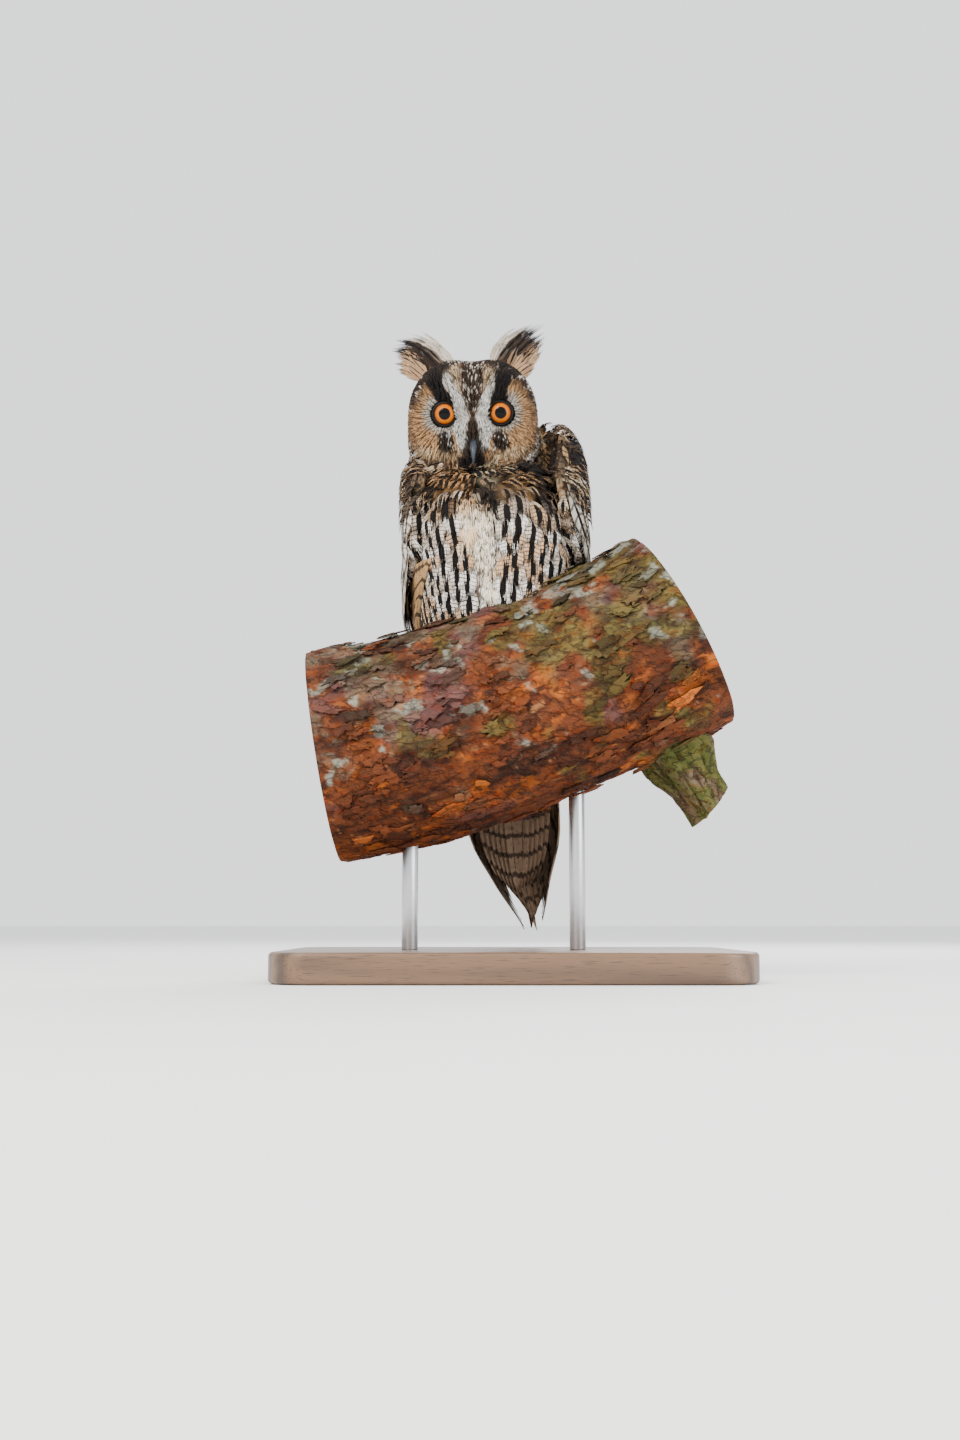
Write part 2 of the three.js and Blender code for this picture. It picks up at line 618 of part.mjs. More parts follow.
let torso = BODY.solid(NECK_BASE - GAP, TAIL_ROOT, 0, 12, BODY_SIDES).subtract(perchSolid(2, 0, 20, 6));
for (const [name, foot] of Object.entries(FEET)) {
  const made = footSolid(foot).subtract(perchClear);
  add(`foot_${name}`, made, "foot");
  for (const toe of TOES) {
    const claw = clawSolid(foot, toe).subtract(perchClear).subtract(toeSolid(foot, toe, GAP));
    add(`claw_${name}_${toe.name}`, claw, "horn");
  }
  add(`leg_${name}`, legSolid(foot).subtract(footSolid(foot, GAP)), "foot");
  torso = torso.subtract(footRoom(foot)).subtract(legSolid(foot, GAP));
}
add("torso", torso, "breast");

const headClear = headShell(2.5, 20, 12);
const bills = upperBill(GAP).add(lowerBill(GAP));
add("neck", BODY.solid(NECK_TOP, NECK_BASE, 0, 4, BODY_SIDES).subtract(headClear).subtract(bills), "breast");
let head = headShell(0);
for (const side of [-1, 1]) head = head.add(lidRing(side));
for (const side of [-1, 1]) head = head.subtract(eyeBall(side, GAP, 14, 10));
add("head", head.subtract(bills), "buff");
add("bill_upper", upperBill(0).subtract(nostril(1)).subtract(nostril(-1)), "horn");
add("bill_lower", lowerBill(0).subtract(upperBill(GAP)), "horn");
for (const name of ["left", "right"]) {
  add(`eye_${name}`, eyeBall(name === "left" ? 1 : -1, 0, 14, 10), "amber");
  add(`ear_tuft_${name}`, tuftSolid(TUFTS[name]), "dark");
  add(`wing_${name}_coverts`, wingCoverts(WINGS[name]), "wing");
  add(`wing_${name}_secondaries`, wingSecondaries(WINGS[name]), "wing");
  add(`wing_${name}_primaries`, wingPrimaries(WINGS[name]), "wing");
}
add("tail", tailSolid(), "tail");

export default owl;
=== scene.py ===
"""A life-size long-eared owl in full plumage, upright on a cut length of pine branch on a display stand.

Shapes are worked out in millimetres about the middle of the perch, with the owl facing -Y and its own left
wing towards +X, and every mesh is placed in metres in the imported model's frame.
"""

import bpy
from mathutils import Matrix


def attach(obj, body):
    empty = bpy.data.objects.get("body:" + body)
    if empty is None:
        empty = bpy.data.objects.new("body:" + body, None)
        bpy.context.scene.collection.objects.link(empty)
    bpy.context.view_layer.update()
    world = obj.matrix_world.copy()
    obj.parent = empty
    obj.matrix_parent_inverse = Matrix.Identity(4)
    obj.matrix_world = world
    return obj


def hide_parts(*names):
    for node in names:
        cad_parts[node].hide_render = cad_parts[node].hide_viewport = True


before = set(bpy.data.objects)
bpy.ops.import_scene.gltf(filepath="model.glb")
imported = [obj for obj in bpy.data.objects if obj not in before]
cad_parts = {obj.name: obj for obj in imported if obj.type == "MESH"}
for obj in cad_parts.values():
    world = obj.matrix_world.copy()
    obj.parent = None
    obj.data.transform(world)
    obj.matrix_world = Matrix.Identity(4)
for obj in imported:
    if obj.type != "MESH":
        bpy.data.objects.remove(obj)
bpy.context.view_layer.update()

import logging
import math
from dataclasses import dataclass, field
from enum import Enum
from typing import Callable, Sequence

import bmesh
import bpy
import numpy as np
from bmesh.types import BMesh
from bpy.types import Material, Mesh, NodeSocket, Object, ShaderNode
from mathutils import Vector
from mathutils.bvhtree import BVHTree
from mathutils.kdtree import KDTree
from numpy.random import Generator, default_rng

Array = np.ndarray
Row = Sequence[float]
Faces = list[tuple[int, ...]]
Line = Callable[[Array], Array]  # something for every value or point
Pair = Callable[[Array, Array], Array]  # something for every pair of them

LOG = logging.getLogger("owl")
BODY = "root"
MM = 0.001
PERCH_TO_ORIGIN = np.array([-13.0, -18.0, 0.0])  # from the middle of the perch to the middle of the base
DEG = math.pi / 180
BODY_YAW = -7 * DEG  # the breast turns a little to the owl's right
SHARP = 1.2  # the angle between faces, in radians, from which an edge counts as sharp
UNWRAP_WIDTH = 0.95  # the share of the bake map's width that the unwrapped skin takes


# Numbers and points
def smooth(low: float, high: float, x: Array) -> Array:
    """A soft step from 0 at low to 1 at high."""
    t = np.clip((x - low) / (high - low), 0, 1)
    return t * t * (3 - 2 * t)


def bump(x: Array, width: float) -> Array:
    """A bell curve of height 1."""
    return np.exp(-((x / width) ** 2))


def mix(a: Array, b: Array, t: Array) -> Array:
    """The value between a and b at t."""
    return a + (b - a) * t


def blend(a: Array, b: Row, t: Array) -> Array:
    """Rows of colours or points a, moved towards b by t for each row."""
    return a + (np.asarray(b, float) - a) * np.asarray(t)[..., None]


def unit(v: Array) -> Array:
    """Rows of vectors at length 1."""
    return v / np.maximum(np.linalg.norm(v, axis=-1, keepdims=True), 1e-9)


def stack(*parts: Array) -> Array:
    """Rows of points from their x, y and z."""
    return np.stack(np.broadcast_arrays(*[np.asarray(p, float) for p in parts]), axis=-1)


def xyz(p: Array) -> tuple[Array, Array, Array]:
    """The x, y and z of rows of points."""
    return p[..., 0], p[..., 1], p[..., 2]


def turn(p: Array, axis: int, angle: float) -> Array:
    """Points turned about the x (0), y (1) or z (2) axis.

    Args:
        p: rows of points.
        axis: which axis.
        angle: in radians.

    Returns:
        The turned points.
    """
    i, j = [(1, 2), (2, 0), (0, 1)][axis]
    q = np.array(p, float)
    q[..., i] = p[..., i] * math.cos(angle) - p[..., j] * math.sin(angle)
    q[..., j] = p[..., i] * math.sin(angle) + p[..., j] * math.cos(angle)
    return q


def ink(red: float, green: float, blue: float) -> Array:
    """A colour as the eye names it, 0 to 255, made linear and a little deeper for the soft bright light.

    Args:
        red: the red.
        green: the green.
        blue: the blue.

    Returns:
        Linear red, green and blue.
    """
    c = np.array([red, green, blue]) / 255
    c = np.where(c > 0.04045, ((c + 0.055) / 1.055) ** 2.4, c / 12.92)
    grey = c @ [0.2126, 0.7152, 0.0722]
    return np.clip(grey + (c - grey) * 1.06, 0.0015, 1) * (0.66 + 0.34 * grey)


def even(p: Array, colour: Row) -> Array:
    """One colour, as the eye names it, for each row of points."""
    return np.zeros(p.shape[:-1] + (3,)) + ink(*colour)


def dyed(low: Row, high: Row, t: Array) -> Array:
    """Rows of colours between two that the eye names, at t from 0 to 1."""
    return mix(ink(*low), ink(*high), np.clip(t, 0, 1)[..., None])


def washed(colours: Array, *washes: tuple[Row | Array, Array]) -> Array:
    """Colours with washes laid over them in turn.

    Args:
        colours: rows of linear colours.
        washes: a colour as the eye names it, or rows of linear ones, and how much of it each row takes.

    Returns:
        Rows of linear colours.
    """
    for tone, share in washes:
        colours = blend(colours, ink(*tone) if isinstance(tone, tuple) else tone, share)
    return colours


def through(a: float, b: float, c: float, d: float, t: Array) -> Array:
    """The smooth curve from b to c, with a before and d after them."""
    return b + 0.5 * t * (c - a + t * (2 * a - 5 * b + 4 * c - d + t * (3 * (b - c) + d - a)))


def between(rows: Array, i: Array, t: Array) -> Array:
    """The smooth curve through rows of numbers, at t from row i to the next."""
    a, b, c, d = (rows[np.clip(i + k, 0, len(rows) - 1)] for k in (-1, 0, 1, 2))
    return through(a, b, c, d, t[..., None])


def along(points: Array, t: Array) -> Array:
    """Points on the smooth curve through rows of points, t from 0 at the first to 1 at the last.

    Args:
        points: the rows.
        t: how far along, of any shape.

    Returns:
        Rows of points.
    """
    p = np.asarray(points, float)
    p = np.vstack([2 * p[0] - p[1], p, 2 * p[-1] - p[-2]])
    last = len(p) - 4
    place = np.clip(np.asarray(t, float), 0, 1) * (last + 1)
    i = np.minimum(place.astype(int), last)
    f = (place - i)[..., None]
    return through(p[i], p[i + 1], p[i + 2], p[i + 3], f)


# Noise that is the same on every run
def lattice(cells: Array, salt: int) -> Array:
    """A value from 0 to 1 for each row of whole-numbered cells.

    Args:
        cells: whole numbers in rows of three.
        salt: picks one of many such noises.

    Returns:
        The values.
    """
    c = cells.astype(np.int64)
    h = (c[..., 0] * 73856093) ^ (c[..., 1] * 19349663) ^ (c[..., 2] * 83492791) ^ (salt * 2654435761)
    h = (h ^ (h >> 13)) * 1274126177 & 0x7FFFFFFF
    h = (h ^ (h >> 16)) * 668265263 & 0x7FFFFFFF
    return (h & 0xFFFFFF) / float(0xFFFFFF)


def cloud(p: Array, size: float, salt: int = 0, octaves: int = 2) -> Array:
    """Soft noise from about -1 to 1 with lumps of the given size.

    Args:
        p: rows of points.
        size: how large the lumps are.
        salt: picks one of many such noises.
        octaves: how many finer noises lie on each other.

    Returns:
        A value for each point.
    """
    total = np.zeros(p.shape[:-1])
    weight = 1.0
    for octave in range(octaves):
        q = p / size * 2 ** octave
        base = np.floor(q)
        f = q - base
        f = f * f * (3 - 2 * f)
        value = np.zeros(p.shape[:-1])
        for corner in range(8):
            step = np.array([corner & 1, corner >> 1 & 1, corner >> 2])
            part = np.prod(np.where(step == 1, f, 1 - f), axis=-1)
            value += part * lattice(base + step, salt + octave * 17)
        total += weight * (2 * value - 1)
        weight *= 0.5
    return total


# The owl's shapes, as named stations and sizes
class Wrap:
    """A body whose sections are rounded boxes, worked out from stations down its height."""

    def __init__(self, stations: Sequence[Row], power: float) -> None:
        """Keeps the stations.

        Args:
            stations: rows of height, middle, half width, front and back, from the top down.
            power: how square the sections are; 2 is an ellipse.
        """
        self.rows = np.array(stations, float)
        self.part = 2 / power

    def row(self, z: Array) -> Array:
        """The smooth middle, half width, front and back at each height.

        Args:
            z: the heights.

        Returns:
            Rows of four numbers.
        """
        rows = self.rows
        i = np.clip(np.searchsorted(-rows[:, 0], -np.asarray(z, float), side="right") - 1, 0, len(rows) - 2)
        t = np.clip((rows[i, 0] - z) / (rows[i, 0] - rows[i + 1, 0]), -1, 2)
        return between(rows[:, 1:], i, t)

    def squared(self, v: Array) -> Array:
        """A cosine or sine, drawn out towards the corners of the sections."""
        return np.sign(v) * np.abs(v) ** self.part

    def at(self, angle: Array, z: Array, h: Array = 0.0) -> Array:
        """Points at an angle from the owl's left side towards its back, h outside the surface.

        Args:
            angle: in radians.
            z: the heights.
            h: how far outside.

        Returns:
            Rows of points.
        """
        angle, z, h = np.broadcast_arrays(*[np.asarray(v, float) for v in (angle, z, h)])
        x, half, front, back = np.moveaxis(self.row(z), -1, 0)
        across = self.squared(np.cos(angle)) * (half + h)
        depth = self.squared(np.sin(angle)) * ((back - front) / 2 + h)
        return turn(stack(x + across, (front + back) / 2 + depth, z), 2, BODY_YAW)


TRUNK = Wrap([
    [334, -8, 31, -12, 30], [318, -4, 41, -26, 42], [303, -1, 48, -38, 52], [282, 1, 51, -44, 62],
    [262, 2, 52, -41, 71], [243, 2, 50, -37, 78], [228, 1, 48, -33, 83], [214, 0, 44, -22, 86],
    [202, 0, 37, 24, 89], [190, 0, 29, 64, 92], [176, 0, 25, 72, 93],
], 2.35)
FOLD = Wrap([
    [350, -1, 41, -20, 44], [333, 0, 48, -34, 50], [313, 0.5, 51, -44, 56], [290, 1.5, 52.5, -48, 64],
    [262, 2, 53, -46, 74], [243, 1.5, 54, -34, 82], [222, 1, 53, -6, 89], [200, 0.5, 44, 44, 94],
    [178, 1, 33, 74, 97], [150, 3, 32, 79, 99], [120, 4, 31, 82, 102], [92, 5.5, 29.5, 85, 104],
    [62, 10, 18, 91, 106], [30, 17, 7, 100, 108],
], 2.2)


class Head:
    """The head's surface, in its own frame with the face towards -Y, and its place on the body."""

    CENTRE = np.array([-11.0, -3.0, 352.0])
    PITCH = 15 * DEG
    ROLL = -1.2 * DEG
    EYE = np.array([17.6, -16.5, 6.2])
    EYE_RADIUS = 9.6
    OPENING = 7.5
    DISC = (39.5, 37.0, -1.0)  # half width, half height and middle height

    @classmethod
    def surface(cls, around: Array, away: Array, grow: float = 0.0) -> Array:
        """Points of the head: away is the angle from straight ahead, around turns about that line.

        Args:
            around: in radians.
            away: in radians.
            grow: how far outside the surface.

        Returns:
            Rows of points in the head's frame.
        """
        d = stack(np.sin(away) * np.cos(around), -np.cos(away), np.sin(away) * np.sin(around))
        face = smooth(-0.1, 0.75, -d[..., 1])
        p = mix(2.38, 2.9, face)
        size = stack(41.0 + 2.5 * smooth(0.0, -0.6, d[..., 2]), np.where(d[..., 1] < 0, 28.0, 42.0),
                     np.where(d[..., 2] > 0, 42.0, 41.0))
        r = (np.abs(d / size) ** p[..., None]).sum(-1) ** (-1 / p)
        q = d * (r + grow)[..., None]
        x, z = q[..., 0], q[..., 2]
        to_eye = np.hypot(np.abs(x) - cls.EYE[0], z - cls.EYE[2])
        in_disc = cls.in_disc(q)
        dish = 4.6 * bump(to_eye, 14.5) + 2.0 * bump(to_eye - 18, 9)
        ridge = 5.4 * bump(x, 6.2) * smooth(-34, -20, z) * (1 - smooth(18, 40, z))
        rim = 2.6 * bump(in_disc - 0.98, 0.09)
        brow = 2.2 * bump(np.abs(x) - 10 - 0.45 * (z - 8), 5) * smooth(4, 12, z) * (1 - smooth(26, 36, z))
        q[..., 1] += face * (dish - ridge - rim - brow)
        q[..., 2] -= 2.8 * bump(x, 11) * smooth(24, 36, z)
        return q

    @classmethod
    def in_disc(cls, q: Array) -> Array:
        """How far out in the facial disc points in the head's frame are, 1 at its rim."""
        half, tall, middle = cls.DISC
        return np.hypot(q[..., 0] / half, (q[..., 2] - middle) / tall)

    @classmethod
    def place(cls, q: Array) -> Array:
        """Points from the head's frame to the body's."""
        return turn(turn(q, 1, cls.ROLL), 0, cls.PITCH) + cls.CENTRE

    @classmethod
    def local(cls, p: Array) -> Array:
        """Points from the body's frame to the head's."""
        return turn(turn(p - cls.CENTRE, 0, -cls.PITCH), 1, -cls.ROLL)


class Side(Enum):
    """The owl's own left and right."""

    LEFT = 1
    RIGHT = -1


class Sheet:
    """A curved sheet between a front line, a middle line and a back line, all from root to tip."""

    def __init__(self, lines: Sequence[Sequence[Row]], side: int = 1) -> None:
        """Keeps the lines.

        Args:
            lines: the points of the front, middle and back lines.
            side: 1 or -1, whichever puts the outside of the sheet on the outside of the owl.
        """
        self.lines = [np.array(line, float) for line in lines]
        self.side = side

    def on(self, u: Array, v: Array) -> Array:
        """The points at u across and v along, on the smooth arc through the three lines.

        Args:
            u: from 0 to 1.
            v: from 0 to 1.

        Returns:
            Rows of points.
        """
        u, v = np.broadcast_arrays(np.asarray(u, float), np.asarray(v, float))
        f, m, b = [along(line, v) for line in self.lines]
        w = u[..., None]
        return f * (1 - w) * (1 - 2 * w) + m * 4 * w * (1 - w) + b * w * (2 * w - 1)

    def out(self, u: Array, v: Array) -> Array:
        """The outward direction at u and v.

        Args:
            u: from 0 to 1.
            v: from 0 to 1.

        Returns:
            Rows of unit vectors.
        """
        step = 0.01
        low, high = np.maximum(0, v - step), np.minimum(1, v + step)
        across = self.on(u + step, v) - self.on(u - step, v)
        down = self.on(u, high) - self.on(u, low)
        return unit(np.cross(across, down)) * self.side

    def at(self, u: Array, v: Array, h: Array) -> Array:
        """The points at u and v, raised by h outwards."""
        u, v, h = np.broadcast_arrays(*[np.asarray(k, float) for k in (u, v, h)])
        return self.on(u, v) + self.out(u, v) * h[..., None]


class FoldedWing(Sheet):
    """A folded wing as a sheet, from the angles of its front and back edges at falling heights."""

    def __init__(self, side: Side, hold: float, rows: Sequence[Row]) -> None:
        """Keeps the edges.

        Args:
            side: which of the owl's wings it is.
            hold: how far the shoulder is held out from the body.
            rows: height, front angle and back angle, from the shoulder to the tip.
        """
        self.bird_side = side.value
        self.side = -side.value
        self.hold = hold
        self.rows = np.array(rows, float)

    def on(self, u: Array, v: Array) -> Array:
        """The points at u from the front edge to the back, and v from the shoulder down to the tip.

        Args:
            u: from 0 to 1.
            v: from 0 to 1.

        Returns:
            Rows of points.
        """
        u, v = np.broadcast_arrays(np.asarray(u, float), np.asarray(v, float))
        last = len(self.rows) - 1
        place = np.clip(v, 0, 1) * last
        i = np.minimum(place.astype(int), last - 1)
        row = between(self.rows, i, place - i)
        angle = mix(row[..., 1], row[..., 2], u) * DEG
        p = FOLD.at(angle if self.bird_side > 0 else math.pi - angle, row[..., 0])
        p[..., 0] += self.bird_side * self.hold * (1 - smooth(0.05, 0.42, v))
        return p


WINGS = {
    Side.LEFT: FoldedWing(Side.LEFT, 4, [
        [351, -6, 20], [325, -36, 60], [297, -34, 74], [266, -12, 81], [236, 22, 85], [204, 18, 87],
        [172, 2, 88], [140, -4, 88], [108, -6, 88], [76, -8, 88], [50, 4, 88], [36, 30, 84]]),
    Side.RIGHT: FoldedWing(Side.RIGHT, 0, [
        [345, -6, 20], [320, -36, 60], [293, -34, 74], [262, -30, 81], [232, -14, 85], [200, 0, 87],
        [168, -2, 88], [136, -6, 88], [105, -8, 88], [74, -8, 88], [48, 0, 88], [30, 30, 84]]),
}
TAIL_SHEET = Sheet([turn(np.array(line, float), 2, BODY_YAW) for line in (
    [[-14, 79, 186], [-20, 82, 158], [-23, 84, 126], [-20, 88, 94], [-8, 94, 57]],
    [[3, 84, 186], [4, 87, 158], [5, 89, 126], [6, 93, 94], [8, 98, 57]],
    [[20, 79, 186], [28, 82, 158], [33, 84, 126], [32, 88, 94], [24, 94, 57]],
)])
CROSSED_TIPS = (
    Sheet([[[-14, 90.5, 146], [2, 101, 84], [28, 101, 30]], [[-8, 90.5, 147], [11, 102, 86], [31, 101, 29]],
           [[-2, 90.5, 148], [20, 103, 88], [33, 101, 30]]]),
    Sheet([[[30, 90.5, 146], [23, 103, 88], [27, 102, 34]], [[37, 90.5, 145], [32, 102.5, 86], [31, 102, 29]],
           [[44, 90.5, 144], [41, 101, 84], [35, 101, 30]]]),
)
TUFT_SHEETS = {
    Side.LEFT: Sheet([
        [[-1, -9, 393], [9, -3, 412], [35, 10, 429]],
        [[8, -15, 388], [20, -11, 404], [40, 9, 425]],
        [[19, -12, 380], [31, -6, 394], [41, 10, 411]]], 1),
    Side.RIGHT: Sheet([
        [[-22, -9, 393], [-38, 1, 412], [-58, 12, 424]],
        [[-33, -15, 387], [-49, -8, 402], [-68, 13, 412]],
        [[-44, -12, 378], [-56, -5, 388], [-66, 14, 396]]], -1),
}


# Meshes
def metres(p: Array) -> Array:
    """Points about the perch in millimetres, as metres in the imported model's frame."""
    return (np.asarray(p, float) + PERCH_TO_ORIGIN) * MM


def joined(obj: Object, slot: str, nodes: Sequence[str] = ()) -> Object:
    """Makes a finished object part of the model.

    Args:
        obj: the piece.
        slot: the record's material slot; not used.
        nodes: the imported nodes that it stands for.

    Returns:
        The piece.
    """
    if obj.name not in bpy.context.scene.collection.objects:
        bpy.context.scene.collection.objects.link(obj)
    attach(obj, BODY)
    if nodes:
        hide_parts(*nodes)
    LOG.info("%s: %d faces", obj.name, len(obj.data.polygons))
    return obj


def ball(place: Pair, around: int, away: int) -> BMesh:
    """A closed mesh from a sphere whose points are moved to where place puts them.

    Args:
        place: gives points from their angles round the poles' line and away from the first pole.
        around: faces round.
        away: faces from pole to pole.

    Returns:
        The mesh, with its faces outwards.
    """
    bm = bmesh.new()
    bmesh.ops.create_uvsphere(bm, u_segments=around, v_segments=away, radius=1)
    co = np.array([v.co for v in bm.verts])
    turned = np.arctan2(co[:, 1], co[:, 0])
    fall = np.arccos(np.clip(co[:, 2], -1, 1))
    for vert, p in zip(bm.verts, metres(place(turned, fall))):
        vert.co = p
    bmesh.ops.recalc_face_normals(bm, faces=bm.faces)
    return bm


def made(bm: BMesh, name: str, rounded: bool = True) -> Object:
    """An object from a finished bmesh, which is freed.

    Args:
        bm: the bmesh.
        name: the object's name.
        rounded: whether it is shaded smooth.

    Returns:
        The object.
    """
    mesh = bpy.data.meshes.new(name)
    for face in bm.faces:
        face.smooth = rounded
    bm.to_mesh(mesh)
    bm.free()
    return bpy.data.objects.new(name, mesh)


def read_points(mesh: Mesh) -> Array:
    """A mesh's points about the perch, in millimetres."""
    co = np.empty(len(mesh.vertices) * 3, np.float32)
    mesh.vertices.foreach_get("co", co)
    return co.reshape(-1, 3).astype(float) / MM - PERCH_TO_ORIGIN


def paint(mesh: Mesh, name: str, colours: Array) -> None:
    """Keeps a linear colour for every point of a mesh.

    Args:
        mesh: the mesh.
        name: the attribute's name.
        colours: rows of linear colours.
    """
    layer = mesh.color_attributes.new(name, "FLOAT_COLOR", "POINT")
    rgba = np.ones((len(colours), 4), np.float32)
    rgba[:, :3] = np.clip(colours, 0, 1)
    layer.data.foreach_set("color", rgba.ravel())


# Materials
class Recipe:
    """A material in the making: shader nodes by kind, with their inputs by name or number."""

    def __init__(self, name: str) -> None:
        """Starts a material of this name with an empty shader.

        Args:
            name: the material's name.
        """
        self.material = bpy.data.materials.new(name)
        self.material.use_nodes = True
        self.tree = self.material.node_tree
        self.tree.nodes.clear()
        self.shader = self.add("ShaderNodeBsdfPrincipled")
        self.tree.links.new(self.shader.outputs[0], self.add("ShaderNodeOutputMaterial").inputs[0])

    def feed(self, node: ShaderNode, key: str | int, value: object) -> None:
        """Links a node's input to another node's output, or sets it to a value.

        Args:
            node: the node.
            key: the input's name or number.
            value: the socket or value.
        """
        if isinstance(value, NodeSocket):
            self.tree.links.new(value, node.inputs[key])
        else:
            node.inputs[key].default_value = value

    def add(self, kind: str, inputs: dict | None = None, **settings: object) -> ShaderNode:
        """A node with its settings, and its inputs as values or as other nodes' outputs.

        Args:
            kind: the node's type.
            inputs: values or sockets by name or number.
            settings: the node's own properties.

        Returns:
            The node.
        """
        node = self.tree.nodes.new(kind)
        for key, value in settings.items():
            setattr(node, key, value)
        for key, value in (inputs or {}).items():
            self.feed(node, key, value)
        return node

    def math(self, operation: str, a: object, b: object = 0.0, clamp: bool = False) -> NodeSocket:
        """The result of arithmetic on two values."""
        return self.add("ShaderNodeMath", {0: a, 1: b}, operation=operation, use_clamp=clamp).outputs[0]

    def times(self, a: object, b: object) -> NodeSocket:
        """The product of two values."""
        return self.math("MULTIPLY", a, b)

    def plus(self, a: object, b: object) -> NodeSocket:
        """The sum of two values."""
        return self.math("ADD", a, b)

    def minus(self, a: object, b: object) -> NodeSocket:
        """The difference of two values."""
        return self.math("SUBTRACT", a, b)

    def step(self, low: object, high: object, value: object, to: Row = (0.0, 1.0)) -> NodeSocket:
        """A soft step of a value between two limits.

        Args:
            low: where the step starts.
            high: where it ends.
            value: the value.
            to: the results before and after it.

        Returns:
            The result.
        """
        limits = {"Value": value, "From Min": low, "From Max": high, "To Min": to[0], "To Max": to[1]}
        return self.add("ShaderNodeMapRange", limits, interpolation_type="SMOOTHSTEP").outputs[0]

    def mix(self, factor: object, a: object, b: object, blend_type: str = "MIX") -> NodeSocket:
        """Two colours mixed by a factor.

        Args:
            factor: how much of the second one.
            a: a colour or socket.
            b: another.
            blend_type: how they mix.

        Returns:
            The mixed colour.
        """
        node = self.add("ShaderNodeMix", {0: factor}, data_type="RGBA", blend_type=blend_type)
        for key, value in ((6, a), (7, b)):
            self.feed(node, key, value if isinstance(value, NodeSocket) else (*value, 1))
        return node.outputs[2]

    def shaded(self, colour: object, value: object) -> NodeSocket:
        """A colour made lighter or darker by a value."""
        return self.add("ShaderNodeHueSaturation", {"Color": colour, "Value": value}).outputs[0]

    def attribute(self, name: str, output: str = "Color") -> NodeSocket:
        """The values kept in a mesh's attribute."""
        return self.add("ShaderNodeAttribute", attribute_name=name).outputs[output]

    def place(self, scale: Row = (1, 1, 1), turned: Row = (0, 0, 0)) -> NodeSocket:
        """The piece's own coordinates in metres, scaled and turned."""
        source = self.add("ShaderNodeTexCoord").outputs["Object"]
        inputs = {"Vector": source, "Scale": scale, "Rotation": turned}
        return self.add("ShaderNodeMapping", inputs).outputs[0]

    def noise(self, vector: object, scale: float, detail: float = 2.0) -> NodeSocket:
        """Noise from 0 to 1."""
        return self.add("ShaderNodeTexNoise", {"Vector": vector, "Scale": scale, "Detail": detail}).outputs[0]

    def finish(self, colour: object, roughness: object, height: object = None, depth: float = 0.0,
               **sockets: float) -> Material:
        """Connects colour, roughness and bump, and sets plain sockets.

        Args:
            colour: the surface colour.
            roughness: the surface roughness.
            height: a height for the bump, if any.
            depth: how deep the bump is, in metres.
            sockets: other inputs of the shader, by name with _ for a space.

        Returns:
            The material.
        """
        self.feed(self.shader, "Base Color", colour)
        self.feed(self.shader, "Roughness", roughness)
        if height is not None:
            uneven = self.add("ShaderNodeBump", {"Height": height, "Distance": depth, "Strength": 1.0})
            self.feed(self.shader, "Normal", uneven.outputs[0])
        for key, value in sockets.items():
            self.shader.inputs[key.replace("_", " ")].default_value = value
        return self.material


@dataclass(frozen=True)
class PlumageFinish:
    """Soft barbs whose ground colour lies on the mesh, with a dark shaft streak and bars across the vane."""

    name: str
    barbs: float = 46.0  # fine barb lines along one feather
    bars: float = 5.0  # dark bars along one feather
    bar_width: float = 0.35
    slope: float = 0.25  # how far the bars and barbs run back from the shaft
    mottle: float = 0.2
    flecks: float = 0.0

    def material(self) -> Material:
        """Makes the material, which reads ground, mark, streak and barring from the mesh.

        Returns:
            The material.
        """
        r = Recipe(self.name)
        vane = r.add("ShaderNodeUVMap", uv_map="Vane").outputs[0]
        split = r.add("ShaderNodeSeparateXYZ", {0: vane})
        across = r.math("ABSOLUTE", r.times(r.minus(split.outputs[0], 0.5), 2.0))
        length = split.outputs[1]
        fine = r.noise(r.place(), 420, 3)
        coarse = r.noise(r.place(), 90, 2)
        wobble = r.times(r.minus(fine, 0.5), 0.22)
        width = r.attribute("streak", "Fac")
        taper = r.times(r.step(0.1, 0.45, length), r.step(1.06, 0.88, length))
        edge = r.times(width, taper)
        streak = r.step(r.plus(edge, 0.07), r.minus(edge, 0.03), r.plus(across, wobble))
        swept = r.minus(length, r.times(across, self.slope))
        wave = r.math("SINE", r.times(r.plus(swept, r.times(wobble, 0.16)), self.bars * 2 * math.pi))
        bar = r.step(1 - 2 * self.bar_width - 0.12, 1 - 2 * self.bar_width + 0.25, wave)
        bar = r.times(bar, r.attribute("barring", "Fac"))
        fleck = r.step(0.52, 0.62, r.noise(r.place(), 340, 4), (0.0, self.flecks))
        mask = r.math("MAXIMUM", r.math("MAXIMUM", streak, bar), fleck, clamp=True)
        colour = r.mix(mask, r.attribute("ground"), r.attribute("mark"))
        wave = r.times(r.minus(length, r.times(across, 0.4)), self.barbs * 2 * math.pi)
        barb = r.math("SINE", wave)
        shade = r.plus(r.times(barb, 0.05), r.times(r.minus(fine, 0.5), self.mottle))
        shade = r.plus(shade, r.times(r.minus(coarse, 0.5), self.mottle))
        colour = r.shaded(colour, r.plus(shade, 1.0))
        height = r.plus(r.times(barb, 0.5), fine)
        return r.finish(colour, 0.78, height, 0.00012, Sheen_Weight=0.03, Sheen_Roughness=0.5,
                        Specular_IOR_Level=0.08)


